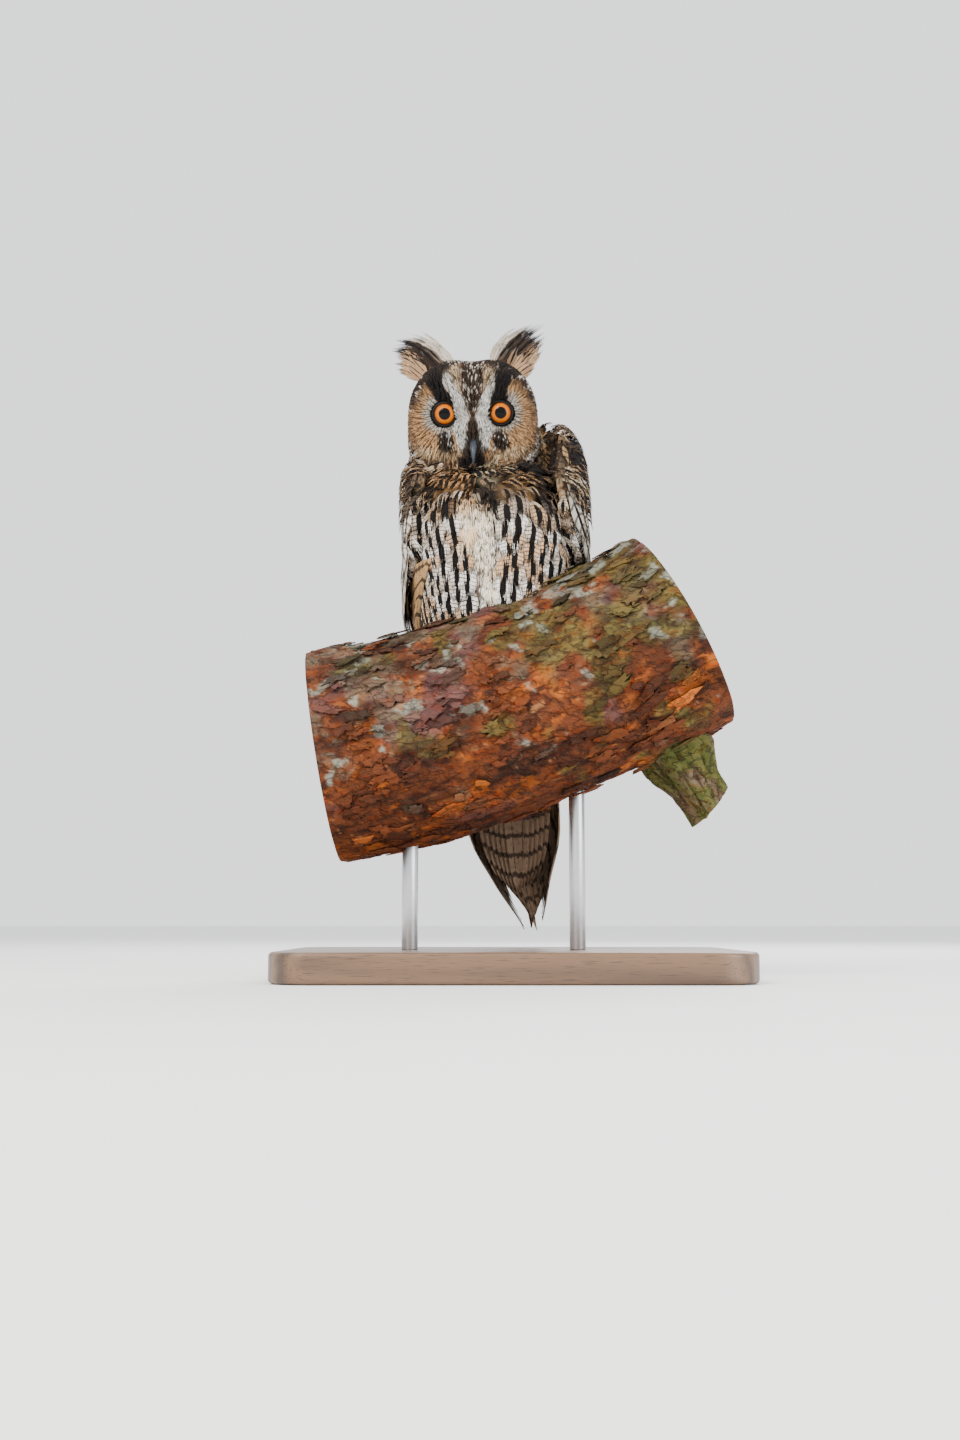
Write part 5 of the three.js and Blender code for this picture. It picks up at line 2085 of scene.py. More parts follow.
@dataclass
class Bill:
    """The hooked bill, with its ridge and nostrils."""

    root: float = 4.3
    tip: float = 0.45
    upper: tuple = ((0, -22, -11), (0, -31.0, -13.8), (0, -37.0, -17.0), (0, -39.2, -21.5), (0, -38.2, -26.0))
    lower: tuple = ((0, -24, -15), (0, -31, -16.5), (0, -34.8, -19.5), (0, -36, -23))
    nostril: tuple = (2.4, -33.4, -14.6)

    def horn(self, line: Sequence[Row], root: float, tip: float, flat: float) -> BMesh:
        """A curved tapering horn along a line of the head.

        Args:
            line: its middle line in the head's frame.
            root: the radius at the root.
            tip: and at the tip.
            flat: its height as a share of the radius.

        Returns:
            The mesh.
        """
        def place(turned: Array, fall: Array) -> Array:
            """Points round the line, with a ridge on top and a hollow at each nostril."""
            t = fall / math.pi
            ahead = unit(along(line, np.minimum(t + 0.01, 1)) - along(line, np.maximum(t - 0.01, 0)))
            down = unit(np.cross(ahead, [1.0, 0, 0]))
            end = np.sqrt(np.clip(1 - (np.maximum(0, np.abs(2 * t - 1) - 0.9) / 0.1) ** 2, 0, 1))
            r = mix(root, tip, t ** 1.35) * end
            ridge = 1 + 0.12 * bump(np.sin(turned) + 1, 0.3)
            q = along(line, t) + down * (r * flat * ridge * np.sin(turned))[..., None]
            q[..., 0] += r * 0.66 * np.cos(turned) * (1 - 0.1 * bump(np.sin(turned) + 1, 0.5))
            hole = np.linalg.norm(stack(np.abs(q[..., 0]), q[..., 1], q[..., 2]) - self.nostril, axis=-1)
            q[..., 0] -= np.sign(q[..., 0]) * 1.1 * smooth(1.5, 0.6, hole)
            return Head.place(q)
        return ball(place, 40, 60)

    def build(self, horn: Material) -> None:
        """Makes both halves.

        Args:
            horn: the material.
        """
        for name, line, root, tip, flat in (("upper", self.upper, self.root, self.tip, 0.95),
                                            ("lower", self.lower, 3.7, 0.6, 0.75)):
            part = made(self.horn(line, root, tip, flat), f"bill_{name}_horn")
            part.data.materials.append(horn)
            joined(part, "horn", [f"bill_{name}"])


@dataclass
class HeadPlumage:
    """The fine feathers of the face, the ruff round it, and the short feathers of crown and nape."""

    skin: Skin
    marks: FaceMarks = field(default_factory=FaceMarks)
    finish: Material | None = None

    def zones(self, p: Array) -> dict[str, Array]:
        """Whether points lie on the face, in the ruff and on the crown and nape.

        Args:
            p: rows of points.

        Returns:
            A row of truths for each part.
        """
        x, y, z = xyz(Head.local(p))
        on_head = on_head_share(p) > 0.5
        disc = Head.in_disc(Head.local(p))
        to_eye = np.hypot(np.abs(x) - Head.EYE[0], z - Head.EYE[2])
        bill = (np.hypot(x / 2.2, (z + 21.0) / 4.6) < 1) & (y < -20)
        return {
            "face": on_head & (y < 2) & (disc < 0.98) & (to_eye > 7.5) & ~bill,
            "ruff": on_head & (y < 12) & (disc > 0.9) & (disc < 1.14) & (to_eye > 9),
            "crown": on_head & ((disc > 1.02) | (y >= 2)),
        }

    def tint(self, seed: int) -> Pair:
        """Colours by place, with each feather shifted a little so that the markings' edges interlock.

        Args:
            seed: the seed of the shifts.

        Returns:
            What gives the ground colours.
        """
        def colours(places: Array, v: Array) -> Array:
            """The ground colours of feathers at their places."""
            rng = default_rng(seed)
            q = Head.local(places)
            return self.marks.colour(q + rng.normal(0, 0.5, (len(q), 1, 1, 3)), rng)
        return colours

    def lay(self, name: str, zone: str, gap: float, lengths: Row, half: float, lock: Lock, seed: int) -> None:
        """Spreads one kind of feather over its part of the head and makes it.

        Args:
            name: the piece's name.
            zone: which of the zones it covers.
            gap: how far apart the feathers stand.
            lengths: their lengths at 8, 14 and 22 mm from an eye.
            half: their half width.
            lock: how they are built.
            seed: the seed of their places and small differences.
        """
        roots = self.skin.scatter(lambda p, n: np.where(self.zones(p)[zone], gap, 0.0), gap, seed)
        rng = default_rng(seed + 1)
        n = len(roots)
        q = Head.local(roots)
        to_eye = np.hypot(np.abs(q[:, 0]) - Head.EYE[0], q[:, 2] - Head.EYE[2])
        size = np.interp(to_eye, [8, 14, 22], lengths) * rng.uniform(0.85, 1.15, n)
        spine, out = self.skin.trace(roots, head_lie, size, 4, rng.normal(0, 0.1, n))
        none = np.zeros(n)
        coat = Coat(name, "face_plumage", self.finish)
        coat.feathers(spine, out, half * rng.uniform(0.85, 1.15, n), lock, seed + 2, self.tint(seed + 3),
                      even(roots, (34, 27, 24)), none + 0.06, none)
        coat.pieces()

    def build(self) -> None:
        """Makes the head's coat."""
        self.finish = PlumageFinish("face_barbs", barbs=10, mottle=0.3).material()
        self.lay("face_disc_feathers", "face", 0.95, (4.5, 7.5, 9.0), 0.5,
                 Lock(1, 4, overlap=1.0, thick=0.16, sink=0.5, rise=2.3, camber=30, fray=0.3), 101)
        self.lay("ruff_feathers", "ruff", 1.5, (6.0, 6.0, 6.0), 1.3,
                 Lock(3, 3, thick=0.2, sink=0.6, rise=3.4, camber=30, early=0.6), 111)
        self.lay("crown_and_nape_feathers", "crown", 2.3, (9.0, 9.0, 9.0), 2.2,
                 Lock(5, 3, thick=0.2, sink=0.8, rise=2.9, camber=40), 121)
        self.bib()

    def bib(self) -> None:
        """The long loose feathers that hang from the chin and cheeks over the throat."""
        def spacing(p: Array, n: Array) -> Array:
            """How far apart they stand, under the face."""
            x, y, z = xyz(Head.local(p))
            low = (z < -20.5 - 0.12 * np.abs(x)) & (y < 4) & (on_head_share(p) > 0.05)
            return np.where(low & (p[..., 2] > 300), 1.9, 0.0)

        def lie(p: Array) -> Array:
            """Which way they point: down and forwards."""
            return stack(0.055 * (p[..., 0] + 10), -0.7, -1.0)

        def tint(places: Array, v: Array) -> Array:
            """Each one's own colour, darkened towards its root as painted shade under its neighbours."""
            # painted shade: darker towards the root, under the feathers above
            return shade[:, None, None] * mix(0.75, 1.0, smooth(0.0, 0.4, v))[..., None]

        roots = self.skin.scatter(spacing, 2.1, 141)
        rng = default_rng(142)
        n = len(roots)
        spine, out = self.skin.trace(roots, lie, rng.uniform(8.0, 17.0, n), 5, rng.normal(0, 0.34, n))
        shade, mark, _, _ = body_colour(spine[:, 5] + [0, -2, 0], rng)
        finish = PlumageFinish("bib_barbs", barbs=12, mottle=0.35).material()
        coat = Coat("chin_and_cheek_feathers", "face_plumage", finish)
        lock = Lock(5, 4, fray=0.4, rise=5.5, sink=0.6, early=0.9, camber=20, thick=0.18, curl=7)
        streak = 0.3 * (rng.random(n) > 0.7)
        coat.feathers(spine, out, np.full(n, 1.7), lock, 143, tint, mark, streak, np.zeros(n))
        coat.pieces()


@dataclass
class EarTuft:
    """One ear tuft: a spoon of long feathers with dark middles."""

    side: Side

    def build(self, finish: Material) -> None:
        """Makes the tuft.

        Args:
            finish: the material.
        """
        sheet = TUFT_SHEETS[self.side]
        rng = default_rng(200 + self.side.value)
        name = self.side.name.lower()
        coat = Coat(f"ear_tuft_{name}_plumes", "tuft_feathers", finish, [f"ear_tuft_{name}"])
        lock = Lock(15, 4, fray=0.19, overlap=1.8, rise=0.5, sink=0.2, camber=9, thick=0.2, rounding=0.42)
        layers = ((0.0, 0.62, 14), (0.02, 0.84, 14), (0.08, 0.97, 13), (0.0, 0.45, 13))
        for layer, (low, high, count) in enumerate(layers):
            s = np.linspace(0.02, 0.98, count)
            reach = mix(0.84, 1.0, 1 - np.abs(2 * s - 1) ** 2) * high * rng.uniform(0.93, 1.0, count)
            t = np.linspace(0, 1, 6)
            v = mix(np.full_like(reach, low)[:, None], reach[:, None], t)
            u = s[:, None] + 0.06 * rng.normal(size=(count, 1)) * t
            h = mix(-2.4, -0.9, t)[None] + (0.8 * layer - 1.2) + 0.6 * rng.normal(size=(count, 1)) * t
            inner = smooth(0.34, 0.18, s + 0.06 * rng.normal(size=count))
            outer = smooth(0.66, 0.84, s + 0.07 * rng.normal(size=count))
            shade = washed(even(s[:, None], (44, 34, 30)), ((118, 92, 72), 0.6 * rng.random(count)),
                           ((208, 196, 180), inner), ((206, 168, 132), outer))

            def tint(places: Array, v: Array, shade: Array = shade) -> Array:
                """Each plume's own colour, paler towards its tip."""
                pale = mix(shade, ink(196, 186, 174), 0.55)
                return mix(shade[:, None, None], pale[:, None, None], smooth(0.6, 1.0, v)[..., None])

            coat.feathers(sheet.at(u, v, h), sheet.out(u, v), np.full(count, 2.9), lock, 210 + layer, tint,
                          even(shade, (24, 19, 18)), 0.3 * (1 - inner) * (1 - 0.75 * outer), np.zeros(count))
        coat.pieces()


# The body and its limbs
@dataclass
class BodyPlumage:
    """The loose contour feathers of throat, breast, belly, flanks and back, and the down of the toes."""

    skin: Skin

    def bare(self, p: Array) -> Array:
        """Whether points have body feathers, and not the head's, the toes' or the log's bark."""
        return (on_head_share(p) < 0.6) & (foot_share(p) < 0.5) & (PERCH.depth(p) > -2)

    def columned(self, p: Array) -> Array:
        """Whether points lie on the streaked breast, belly and flanks."""
        return (p[..., 1] < 22) & (p[..., 2] < 297)

    def plain(self, p: Array) -> Array:
        """Whether points lie on the plain cream patch of the breast."""
        return patch_share(p) > 0.5

    def spacing(self, p: Array, n: Array) -> Array:
        """How far apart the loose feathers stand.

        Args:
            p: rows of points.
            n: the outward directions there.

        Returns:
            Millimetres, or 0 for none.
        """
        size = mix(4.8, 3.4, smooth(300, 314, p[..., 2]))
        size = mix(size, 5.0, smooth(10, 30, p[..., 1]))
        size = np.where(self.columned(p), 6.0, size)
        return np.where(self.bare(p), size, 0.0)

    def columns(self) -> Array:
        """Roots in staggered columns that draw together over the belly.

        Returns:
            Rows of points.
        """
        rng = default_rng(310)
        roots = []
        for k in range(-11, 12):
            z = np.arange(303.0 - 5.6 * (k % 2), 205, -11.2)
            z = z + rng.normal(0, 0.9, len(z))
            way = k * 0.195 + 0.03 * math.sin(k * 2.3) + rng.normal(0, 0.01, len(z))
            roots.append(TRUNK.at(-math.pi / 2 + way * mix(0.76, 1.0, smooth(228, 298, z)), z, 0.0))
        roots = np.concatenate(roots)
        return roots[self.bare(roots) & (roots[:, 1] < 26) & ~self.plain(roots + [0, 0, -14])]

    def lay(self, name: str, finish: Material, roots: Array, size: Array | float, half: Array | float,
            lock: Lock, seed: int, sway: float = 0.09, seen: int = 2, marked: bool = True) -> None:
        """Makes one kind of body feather at its roots.

        Args:
            name: the piece's name.
            finish: the material.
            roots: the places of the roots.
            size: lengths.
            half: half widths.
            lock: how they are built.
            seed: the seed of the small differences.
            sway: how far they stray from the coat's own direction.
            seen: the step along each feather whose place gives its colour.
            marked: whether they have streaks and bars.
        """
        rng = default_rng(seed)
        n = len(roots)
        size = size * rng.uniform(0.9, 1.1, n)
        spine, out = self.skin.trace(roots, body_lie, size, 5, rng.normal(0, sway, n))
        ground, mark, streak, barring = body_colour(spine[:, seen], rng)
        # painted shade: each feather darkened towards its root, where its neighbours cover it, less for the
        # plain under-down
        deep = np.where(streak < 0.05, 0.88, 0.68)

        def tint(places: Array, v: Array) -> Array:
            """Each one's own colour, darkened towards its root as painted shade under its neighbours."""
            return ground[:, None, None] * mix(deep[:, None, None], 1.0, smooth(0.1, 0.5, v))[..., None]

        coat = Coat(name, "breast_plumage", finish)
        coat.feathers(spine, out, half * rng.uniform(0.92, 1.08, n), lock, seed + 1, tint, mark,
                      streak * marked, barring * marked)
        coat.pieces()

    def build(self) -> None:
        """Makes the body's coat."""
        soft = PlumageFinish("breast_barbs", 30, 10, 0.15, slope=0.06, flecks=0.25).material()
        lock = Lock(21, 4, rise=5.0, sink=1.2, fray=0.24, rounding=0.2, thick=0.18, overlap=1.7)
        self.lay("breast_feathers", soft, self.columns(), 24.0, 5.9, lock, 303, 0.045)
        cream = self.skin.scatter(
            lambda p, n: np.where(self.plain(p + [0, 0, -10]) & self.bare(p), 3.0, 0.0), 3.0, 307)
        plain = PlumageFinish("breast_patch_barbs", barbs=20, mottle=0.2).material()
        self.lay("breast_patch_feathers", plain, cream, 17.0, 2.6,
                 Lock(9, 4, rise=4.8, sink=1.2, fray=0.45, rounding=0.3, thick=0.16, overlap=1.5), 308, 0.07)
        roots = self.skin.scatter(self.spacing, 3.4, 301)
        under = self.columned(roots)
        throat = ~under & (roots[:, 1] < 14) & (roots[:, 2] > 288)
        self.lay("breast_under_down", soft, roots[under], 15.0, 4.6, Lock(7, 3, rise=3.0, sink=1.2, fray=0.3),
                 321, marked=False)
        size = np.interp(roots[throat, 2], [296, 302, 316], [11, 16, 14])
        size = size * default_rng(311).uniform(0.75, 1.25, throat.sum())
        self.lay("throat_feathers", soft, roots[throat], size, 3.0,
                 Lock(9, 4, rise=6.2, sink=1.2, fray=0.42, rounding=0.3, thick=0.2, curl=6), 323, 0.22, 4)
        back = roots[~under & ~throat]
        high = smooth(296, 316, back[:, 2])
        self.lay("back_feathers", soft, back, mix(22.0, 12.0, high), mix(5.2, 3.0, high),
                 Lock(11, 4, rise=5.0, sink=1.4, fray=0.18), 325)
        self.toes()

    def toes(self) -> None:
        """The short buff down on the toes."""
        def spacing(p: Array, n: Array) -> Array:
            """How far apart it stands, above the bark."""
            return np.where((foot_share(p) > 0.5) & (PERCH.depth(p) > -1), 1.3, 0.0)

        def lie(p: Array) -> Array:
            """Which way it points: forwards in front of the ankles and back behind them."""
            return stack(0.0, np.sign(p[..., 1] - 8), -0.15)

        def tint(places: Array, v: Array) -> Array:
            """Each lock's own colour."""
            return np.broadcast_to(shade[:, None, None], places.shape)

        roots = self.skin.scatter(spacing, 1.3, 331)
        rng = default_rng(332)
        n = len(roots)
        spine, out = self.skin.trace(roots, lie, rng.uniform(3.5, 5.5, n), 3, rng.normal(0, 0.2, n))
        shade = washed(even(roots, (216, 172, 116)), ((236, 210, 170), rng.random(n) * 0.7))
        coat = Coat("toe_down", "foot_plumage", PlumageFinish("toe_down", barbs=8, mottle=0.3).material())
        lock = Lock(1, 3, overlap=1.0, rise=1.5, sink=0.5, thick=0.2, camber=8)
        coat.feathers(spine, out, np.full(n, 0.7), lock, 333, tint, shade * 0, np.zeros(n), np.zeros(n))
        coat.pieces()


def slab_faces(index: Array) -> Faces:
    """The faces of a closed sheet of two layers of points.

    Args:
        index: the numbers of the upper layer's points by row and column, from 0 on.

    Returns:
        The corners of every face, where the lower layer's points follow the upper's.
    """
    count = index.size
    faces = []
    for i in range(index.shape[0] - 1):
        for j in range(index.shape[1] - 1):
            quad = (index[i, j], index[i, j + 1], index[i + 1, j + 1], index[i + 1, j])
            faces += [quad, tuple(k + count for k in reversed(quad))]
    rim = list(index[0, :-1]) + list(index[:-1, -1]) + list(index[-1, :0:-1]) + list(index[:0:-1, 0])
    for here, after in zip(rim, rim[1:] + rim[:1]):
        faces.append((after, here, here + count, after + count))
    return [tuple(int(k) for k in face) for face in faces]


@dataclass
class Quill:
    """One stiff flight or tail feather on a sheet."""

    u0: float  # the root, across and along the sheet
    v0: float
    u1: float  # the tip
    v1: float
    half: float
    h0: float  # its height over the sheet at root and tip
    h1: float
    tilt: float
    point: float = 0.7  # where along it the tip starts to round
    columns: int = 8
    rows: int = 18

    def points(self, sheet: Sheet, rng: Generator) -> tuple[Array, Array, Array]:
        """The corners of a closed thin vane, upper face first, with their places across and along it.

        Args:
            sheet: the sheet that it lies on.
            rng: the source of the nicks in its margin.

        Returns:
            Rows of points, and their places from 0 to 1.
        """
        t = np.linspace(0, 1, self.rows + 1)[:, None]
        s = np.linspace(-1, 1, self.columns + 1)[None]
        rounded = np.sqrt(1 - np.clip((t - self.point) / (1.003 - self.point), 0, 1) ** 2)
        w = self.half * mix(0.5, 1.0, smooth(0, 0.4, t)) * rounded
        w = w * (1 - 0.05 * rng.random((self.rows + 1, 1)) * (np.abs(s) > 0.9))
        u = mix(self.u0, self.u1, t) + s * w
        v = mix(self.v0, self.v1, t) + 0 * s
        h = mix(self.h0, self.h1, t) + s * self.tilt + 0.35 * (1 - s ** 2) * (self.tilt != 0)
        thick = mix(0.14, 0.34, bump(s, 0.12)) * mix(1.0, 0.4, t)
        layers = [sheet.at(u, v, h + side * thick).reshape(-1, 3) for side in (1, -1)]
        across = np.tile((0.5 + 0.5 * s + 0 * t).ravel(), 2)
        return np.concatenate(layers), across, np.tile((t + 0 * s).ravel(), 2)

    def faces(self) -> Faces:
        """The corners of its faces."""
        return slab_faces(np.arange((self.rows + 1) * (self.columns + 1)).reshape(self.rows + 1, -1))


def quills(coat: Coat, sheet: Sheet, row: Sequence[Quill], ground: Sequence[Array], mark: Array,
           barring: float, seed: int, streak: float = 0.03) -> None:
    """Adds a row of flight feathers to a coat.

    Args:
        coat: the coat.
        sheet: the sheet that they lie on.
        row: the feathers.
        ground: each one's colours at root and tip.
        mark: the colour of the bars.
        barring: their strength.
        seed: the seed of the small differences.
        streak: half width of the dark line of the shaft.
    """
    rng = default_rng(seed)
    for n, (quill, (root, tip)) in enumerate(zip(row, ground)):
        points, u, v = quill.points(sheet, rng)
        if sheet.side < 0:
            points = points.reshape(2, -1, 3)[::-1].reshape(-1, 3)
        shade = mix(root, tip, smooth(0.35, 0.75, v)[:, None])
        home = np.array([[0.06 + 0.1 * (n % 9), 0.06 + 0.1 * (n // 9) + 0.3 * (seed % 3)]])
        coat.put(points[None], quill.faces(), u[None], v[None], points[None, 0], shade[None], mark[None],
                 np.array([streak]), np.array([barring]), 0.09, home)


@dataclass
class Wing:
    """A folded wing: coverts in rows over the arm, then secondaries, then the long primaries."""

    side: Side
    start: float = 0.3015

    def line(self, u0: Array, u1: Array, v0: float, v1: Array, h0: float, h1: float,
             steps: int = 5) -> tuple[Array, Array]:
        """The lines of a row of coverts on the wing, and the outward directions along them.

        Args:
            u0: the roots' places across the wing.
            u1: the tips'.
            v0: how far down the roots are.
            v1: and the tips.
            h0: the height of the roots over the sheet.
            h1: and of the tips.
            steps: parts of each line.

        Returns:
            The points and directions, by feather and step.
        """
        t = np.linspace(0, 1, steps + 1)
        u = mix(u0[:, None], u1[:, None], t)
        v = mix(v0, v1[:, None], t)
        sheet = WINGS[self.side]
        return sheet.at(u, v, mix(h0, h1, t)[None] + 0 * u), sheet.out(u, v)

    def coverts(self, finish: Material, name: str) -> None:
        """The rows of coverts and the scapulars along the back edge.

        Args:
            finish: the material.
            name: left or right.
        """
        coat = Coat(f"wing_{name}_covert_feathers", "wing_feathers", finish, [f"wing_{name}_coverts"])
        rng = default_rng(400 + self.side.value)
        rows = (  # place, length, count and the heights of root and tip
            (0.03, 0.055, 12, 2.0, 4.2), (0.06, 0.06, 12, 2.4, 4.8), (0.095, 0.065, 11, 2.8, 5.4),
            (0.13, 0.075, 11, 3.2, 6.0), (0.17, 0.085, 10, 3.8, 6.8), (0.215, 0.1, 10, 4.4, 7.4),
            (0.26, 0.14, 10, 5.0, 8.0),
        )
        for k, (v0, length, count, h0, h1) in enumerate(rows):
            s = np.linspace(0, 1, count) + (0.5 / count if k % 2 else 0)
            u = mix(0.04, 0.96, np.clip(s, 0, 1))
            v1 = v0 + length * rng.uniform(0.92, 1.08, count)
            self.row(coat, rng, u, u * 0.98 + 0.005, v0, v1, h0, h1, 95.0 / count * 0.72, 410 + k)
        for k, (v0, v1) in enumerate(((0.02, 0.16), (0.1, 0.26), (0.18, 0.36))):
            u = np.array([0.74, 0.83, 0.92, 1.0])
            self.row(coat, rng, u, u * 0.97, v0, v1 * rng.uniform(0.96, 1.04, 4), 5.0, 8.8, 7.5, 430 + k)
        coat.pieces()

    def row(self, coat: Coat, rng: Generator, u0: Array, u1: Array, v0: float, v1: Array,
            h0: float, h1: float, half: float, seed: int) -> None:
        """Adds one row of coverts.

        Args:
            coat: the coat that it goes into.
            rng: the source of the differences between feathers.
            u0: the roots' places across the wing.
            u1: the tips'.
            v0: how far down the wing the roots are.
            v1: and the tips.
            h0: the height of the roots over the wing's sheet.
            h1: and of the tips.
            half: the half width of a feather.
            seed: the seed of the fraying.
        """
        spine, out = self.line(u0, u1, v0, v1, h0, h1)
        n = len(u0)
        pick = rng.random(n)
        ground = washed(
            even(u0[:, None], (150, 126, 100)),
            ((198, 160, 118), 0.8 * (pick > 0.6)),
            ((158, 146, 130), 0.8 * (pick < 0.14)),
            ((90, 72, 58), 0.7 * ((pick > 0.3) & (pick < 0.42))),
            ((232, 226, 216), 0.75 * smooth(0.3, 0.1, u0) * (pick > 0.35) * (v0 > 0.12)),
            ((66, 52, 44), 0.6 * (v0 < 0.12) * (pick < 0.6)),
        )

        def tint(places: Array, v: Array) -> Array:
            """Each one's own colour, darkened towards its root as painted shade under the row above."""
            # painted shade: darker towards the root, under the overlapping coverts
            return ground[:, None, None] * mix(0.55, 1.0, smooth(0.15, 0.55, v))[..., None]

        lock = Lock(15, 4, rounding=0.22, fray=0.08, rise=0.6, sink=0.3, camber=40, thick=0.3)
        coat.feathers(spine, out, np.full(n, half), lock, seed, tint, even(ground, (38, 30, 27)),
                      0.13 + 0.12 * rng.random(n), 0.6 + 0.3 * rng.random(n))

    def build(self, finish: Material, stiff: Material) -> None:
        """Makes the wing.

        Args:
            finish: the coverts' material.
            stiff: the flight feathers' material.
        """
        name = self.side.name.lower()
        self.coverts(finish, name)
        sheet = WINGS[self.side]
        rng = default_rng(450 + self.side.value)
        dark = ink(52, 42, 36)
        root = self.start + 0.004
        row = [Quill(mix(0.1, 0.9, s), root, mix(0.13, 0.85, s), mix(0.665, 0.6, s) + 0.01 * rng.random(),
                     0.075, 4.5, 5.3, 0.7, 0.6) for s in np.linspace(0, 1, 10)]
        tones = [(ink(180, 144, 104), ink(152, 134, 114))] * len(row)
        if self.side is Side.RIGHT:
            row += [Quill(u, self.start - 0.02, u + 0.02, v, 0.046, -0.5, 3.8, 0.7, 0.6)
                    for u, v in ((0.04, 0.66), (-0.01, 0.63), (-0.06, 0.59), (-0.11, 0.55), (-0.16, 0.51))]
            tones += [(ink(206, 164, 116), ink(204, 160, 112))] * (len(row) - len(tones))
        second = Coat(f"wing_{name}_secondary_vanes", "wing_feathers", stiff, [f"wing_{name}_secondaries"])
        quills(second, sheet, row, tones, dark, 0.9, 460)
        second.pieces()
        row = [Quill(mix(0.12, 0.86, s), root, mix(0.17, 0.82, s), mix(0.998, 0.8, s ** 1.3),
                     mix(0.115, 0.09, s), 1.2, 1.1, 0.8, 0.8, rows=26) for s in np.linspace(0, 1, 8)]
        tones = [(ink(196, 154, 108), ink(142, 124, 104))] * len(row)
        first = Coat(f"wing_{name}_primary_vanes", "wing_feathers", stiff, [f"wing_{name}_primaries"])
        quills(first, sheet, row, tones, dark, 0.9, 470)
        first.pieces()


@dataclass
class Tail:
    """The tail: six pairs of barred feathers, the middle pair on top, and the wing tips crossed behind it."""

    pairs: int = 6

    def build(self, barred: Material, stiff: Material) -> None:
        """Makes the tail and the wing tips.

        Args:
            barred: the tail's material.
            stiff: the wing tips' material.
        """
        coat = Coat("tail_vanes", "tail_feathers", barred, ["tail"])
        row, ground = [], []
        for i in range(self.pairs):
            for side in (-1, 1):
                out = (i + 0.5) / self.pairs
                top = 1.2 if i == 0 and side > 0 else 0.0
                tip = mix(1, 0.93, out ** 2)
                row.append(Quill(0.5 + side * 0.38 * out, 0.01, 0.5 + side * 0.4 * out, tip, 0.1, top, top,
                                 -side * 1.5, 0.85, rows=22))
                ground.append((ink(98, 78, 64), ink(162, 136, 114)))
        quills(coat, TAIL_SHEET, row, ground, ink(48, 38, 33), 0.85, 480)
        coat.pieces()
        crossed = Coat("crossed_wing_tips", "wing_feathers", stiff)
        for n, sheet in enumerate(CROSSED_TIPS):
            row = [Quill(mix(0.08, 0.92, s), 0.0, mix(0.2, 0.8, s), mix(1.0, 0.8, s if n else 1 - s), 0.3,
                         1.2 * n, 1.2 * n, 0.6, 0.72) for s in np.linspace(0, 1, 5)]
            tones = [(ink(150, 126, 102), ink(140, 116, 94))] * len(row)
            quills(crossed, sheet, row, tones, ink(54, 42, 35), 0.85, 490 + n)
        crossed.pieces()


# The stand and the studio
@dataclass
class Stand:
    """A flat wooden board and two steel rods that hold the branch."""

    width: float = 284.0
    depth: float = 216.0
    height: float = 18.0
    corner: float = 26.0
    edge: float = 2.5
    rod: float = 5.0
    rod_x: tuple = (("right", -50.0), ("left", 54.0))

    def build(self) -> None:
        """Makes the board and the rods."""
        self.board()
        steel = SteelFinish().material()
        for name, x in self.rod_x:
            self.upright(name, x, steel)

    def board(self) -> None:
        """The board, with rounded corners and eased edges."""
        bm = bmesh.new()
        bmesh.ops.create_cube(bm, size=1)
        bmesh.ops.scale(bm, verts=bm.verts, vec=(self.width * MM, self.depth * MM, self.height * MM))
        bmesh.ops.translate(bm, verts=bm.verts, vec=(0, 0, self.height / 2 * MM))
        corners = [e for e in bm.edges if abs(e.verts[0].co.z - e.verts[1].co.z) > MM]
        bmesh.ops.bevel(bm, geom=corners, offset=self.corner * MM, affect="EDGES", segments=14, profile=0.5,
                        material=-1)
        ease(bm, self.edge, 4)
        board = made(bm, "stand_board", rounded=False)
        board.data.materials.append(WoodFinish().material())
        joined(board, "stand_wood", ["stand_base"])

    def upright(self, name: str, x: float, steel: Material) -> None:
        """One rod, from the board into the log.

        Args:
            name: which rod.
            x: its place along the branch.
            steel: the material.
        """
        tall = PERCH.level(x) - PERCH.radius * 0.8 - self.height
        bm = bmesh.new()
        bmesh.ops.create_cone(bm, cap_ends=True, segments=40, radius1=self.rod * MM, radius2=self.rod * MM,
                              depth=tall * MM)
        bmesh.ops.translate(bm, verts=bm.verts, vec=metres(np.array([x, 0, self.height + tall / 2])))
        ease(bm, 0.5, 2)
        rod = made(bm, f"stand_rod_{name}_steel")
        rod.data.materials.append(steel)
        joined(rod, "stand_steel", [f"stand_rod_{name}"])


def ease(bm: BMesh, size: float, steps: int) -> None:
    """Rounds the sharp edges of a mesh by a size in millimetres."""
    sharp = [e for e in bm.edges if e.calc_face_angle(0) > SHARP]
    bmesh.ops.bevel(bm, geom=sharp, offset=size * MM, affect="EDGES", segments=steps, profile=0.5,
                    material=-1)


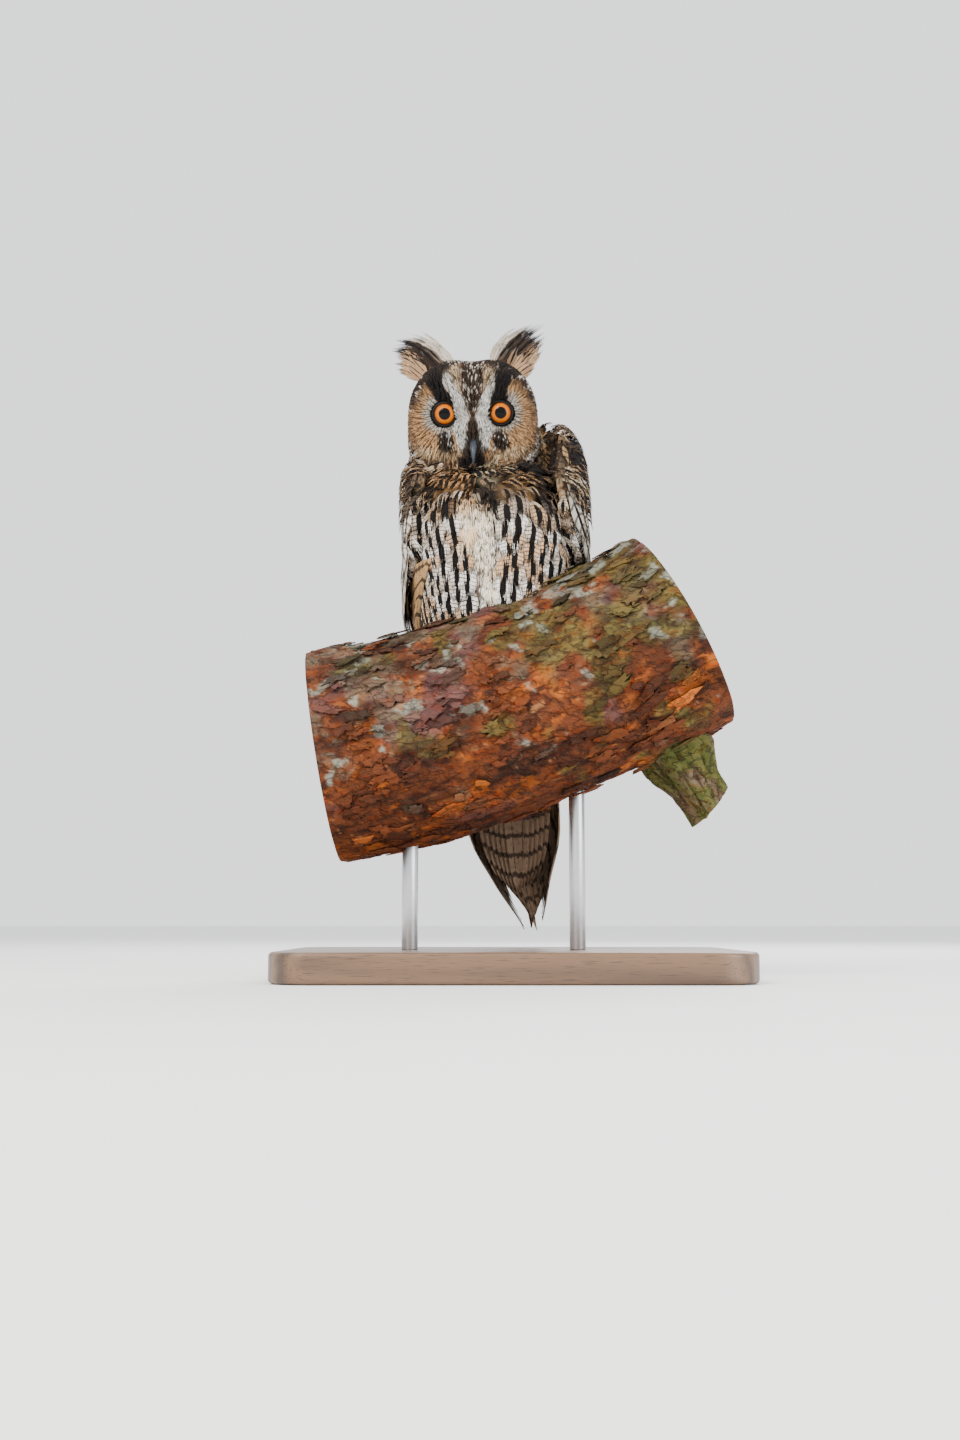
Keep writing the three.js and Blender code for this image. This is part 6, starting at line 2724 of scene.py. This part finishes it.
@dataclass
class Studio:
    """The photograph's view, soft pale light and a plain floor."""

    eye: tuple = (-0.0195, -1.018, 0.035)
    pitch: float = 97.2 * DEG
    lens: float = 40.0
    floor: float = 14.0

    def build(self) -> None:
        """Makes the camera, the floor and the lights."""
        lens = bpy.data.cameras.new("view")
        lens.lens = self.lens
        lens.sensor_width = 36
        camera = bpy.data.objects.new("view", lens)
        camera.location = self.eye
        camera.rotation_euler = (self.pitch, 0, 0)
        bpy.context.scene.collection.objects.link(camera)
        bpy.context.scene.camera = camera
        self.ground()
        world = bpy.data.worlds.new("soft_room")
        world.use_nodes = True
        world.node_tree.nodes["Background"].inputs[0].default_value = (0.97, 0.98, 1.0, 1)
        world.node_tree.nodes["Background"].inputs[1].default_value = 1.7
        bpy.context.scene.world = world
        self.lamp("key", (-0.8, -1.3, 1.3), 0.8, 52, (1.0, 0.96, 0.9))
        self.lamp("fill", (1.2, -1.0, 0.6), 1.0, 20, (0.92, 0.96, 1.0))
        self.lamp("rim", (0.5, 1.2, 1.2), 0.8, 26, (1.0, 1.0, 1.0))

    def ground(self) -> None:
        """The pale floor, a hair under the stand."""
        bm = bmesh.new()
        bmesh.ops.create_circle(bm, cap_ends=True, radius=self.floor, segments=96)
        bmesh.ops.translate(bm, verts=bm.verts, vec=(0, 0, -0.0004))
        ground = made(bm, "studio_floor", rounded=False)
        r = Recipe("pale_floor")
        patchy = r.noise(r.place(), 3, 2)
        ground.data.materials.append(r.finish(r.mix(patchy, (0.78, 0.78, 0.77), (0.84, 0.84, 0.83)), 0.9))
        bpy.context.scene.collection.objects.link(ground)

    def lamp(self, name: str, place: Row, size: float, power: float, colour: Row) -> None:
        """One square lamp, turned to the owl.

        Args:
            name: its name.
            place: where it is, in metres.
            size: the length of its side, in metres.
            power: in watts.
            colour: linear.
        """
        data = bpy.data.lights.new(name, "AREA")
        data.size = size
        data.energy = power
        data.color = colour
        lamp = bpy.data.objects.new(name, data)
        lamp.location = place
        lamp.rotation_euler = (Vector((0, 0, 0.25)) - Vector(place)).to_track_quat("-Z", "Y").to_euler()
        bpy.context.scene.collection.objects.link(lamp)


def main() -> None:
    """Builds the owl, its branch, its stand and the studio."""
    logging.basicConfig(level=logging.INFO, format="%(message)s")
    Studio().build()
    PERCH.build()
    Stand().build()
    horn = HornFinish().material()
    for foot in FEET:
        foot.build(horn)
    skin = Skin()
    skin.dress()
    EyePair().build()
    Bill().build(horn)
    HeadPlumage(skin).build()
    tuft = PlumageFinish("tuft_barbs", barbs=40, mottle=0.2).material()
    for side in Side:
        EarTuft(side).build(tuft)
    BodyPlumage(skin).build()
    covert = PlumageFinish("covert_barbs", 40, 5, 0.2, 0.08, mottle=0.3, flecks=0.45).material()
    stiff = PlumageFinish("flight_barbs", 110, 9, 0.18, 0.02, flecks=0.2).material()
    barred = PlumageFinish("tail_barbs", 130, 11, 0.17, 0.01, flecks=0.25).material()
    for side in Side:
        Wing(side).build(covert, stiff)
    Tail().build(barred, stiff)


if __name__ == "__main__":
    main()
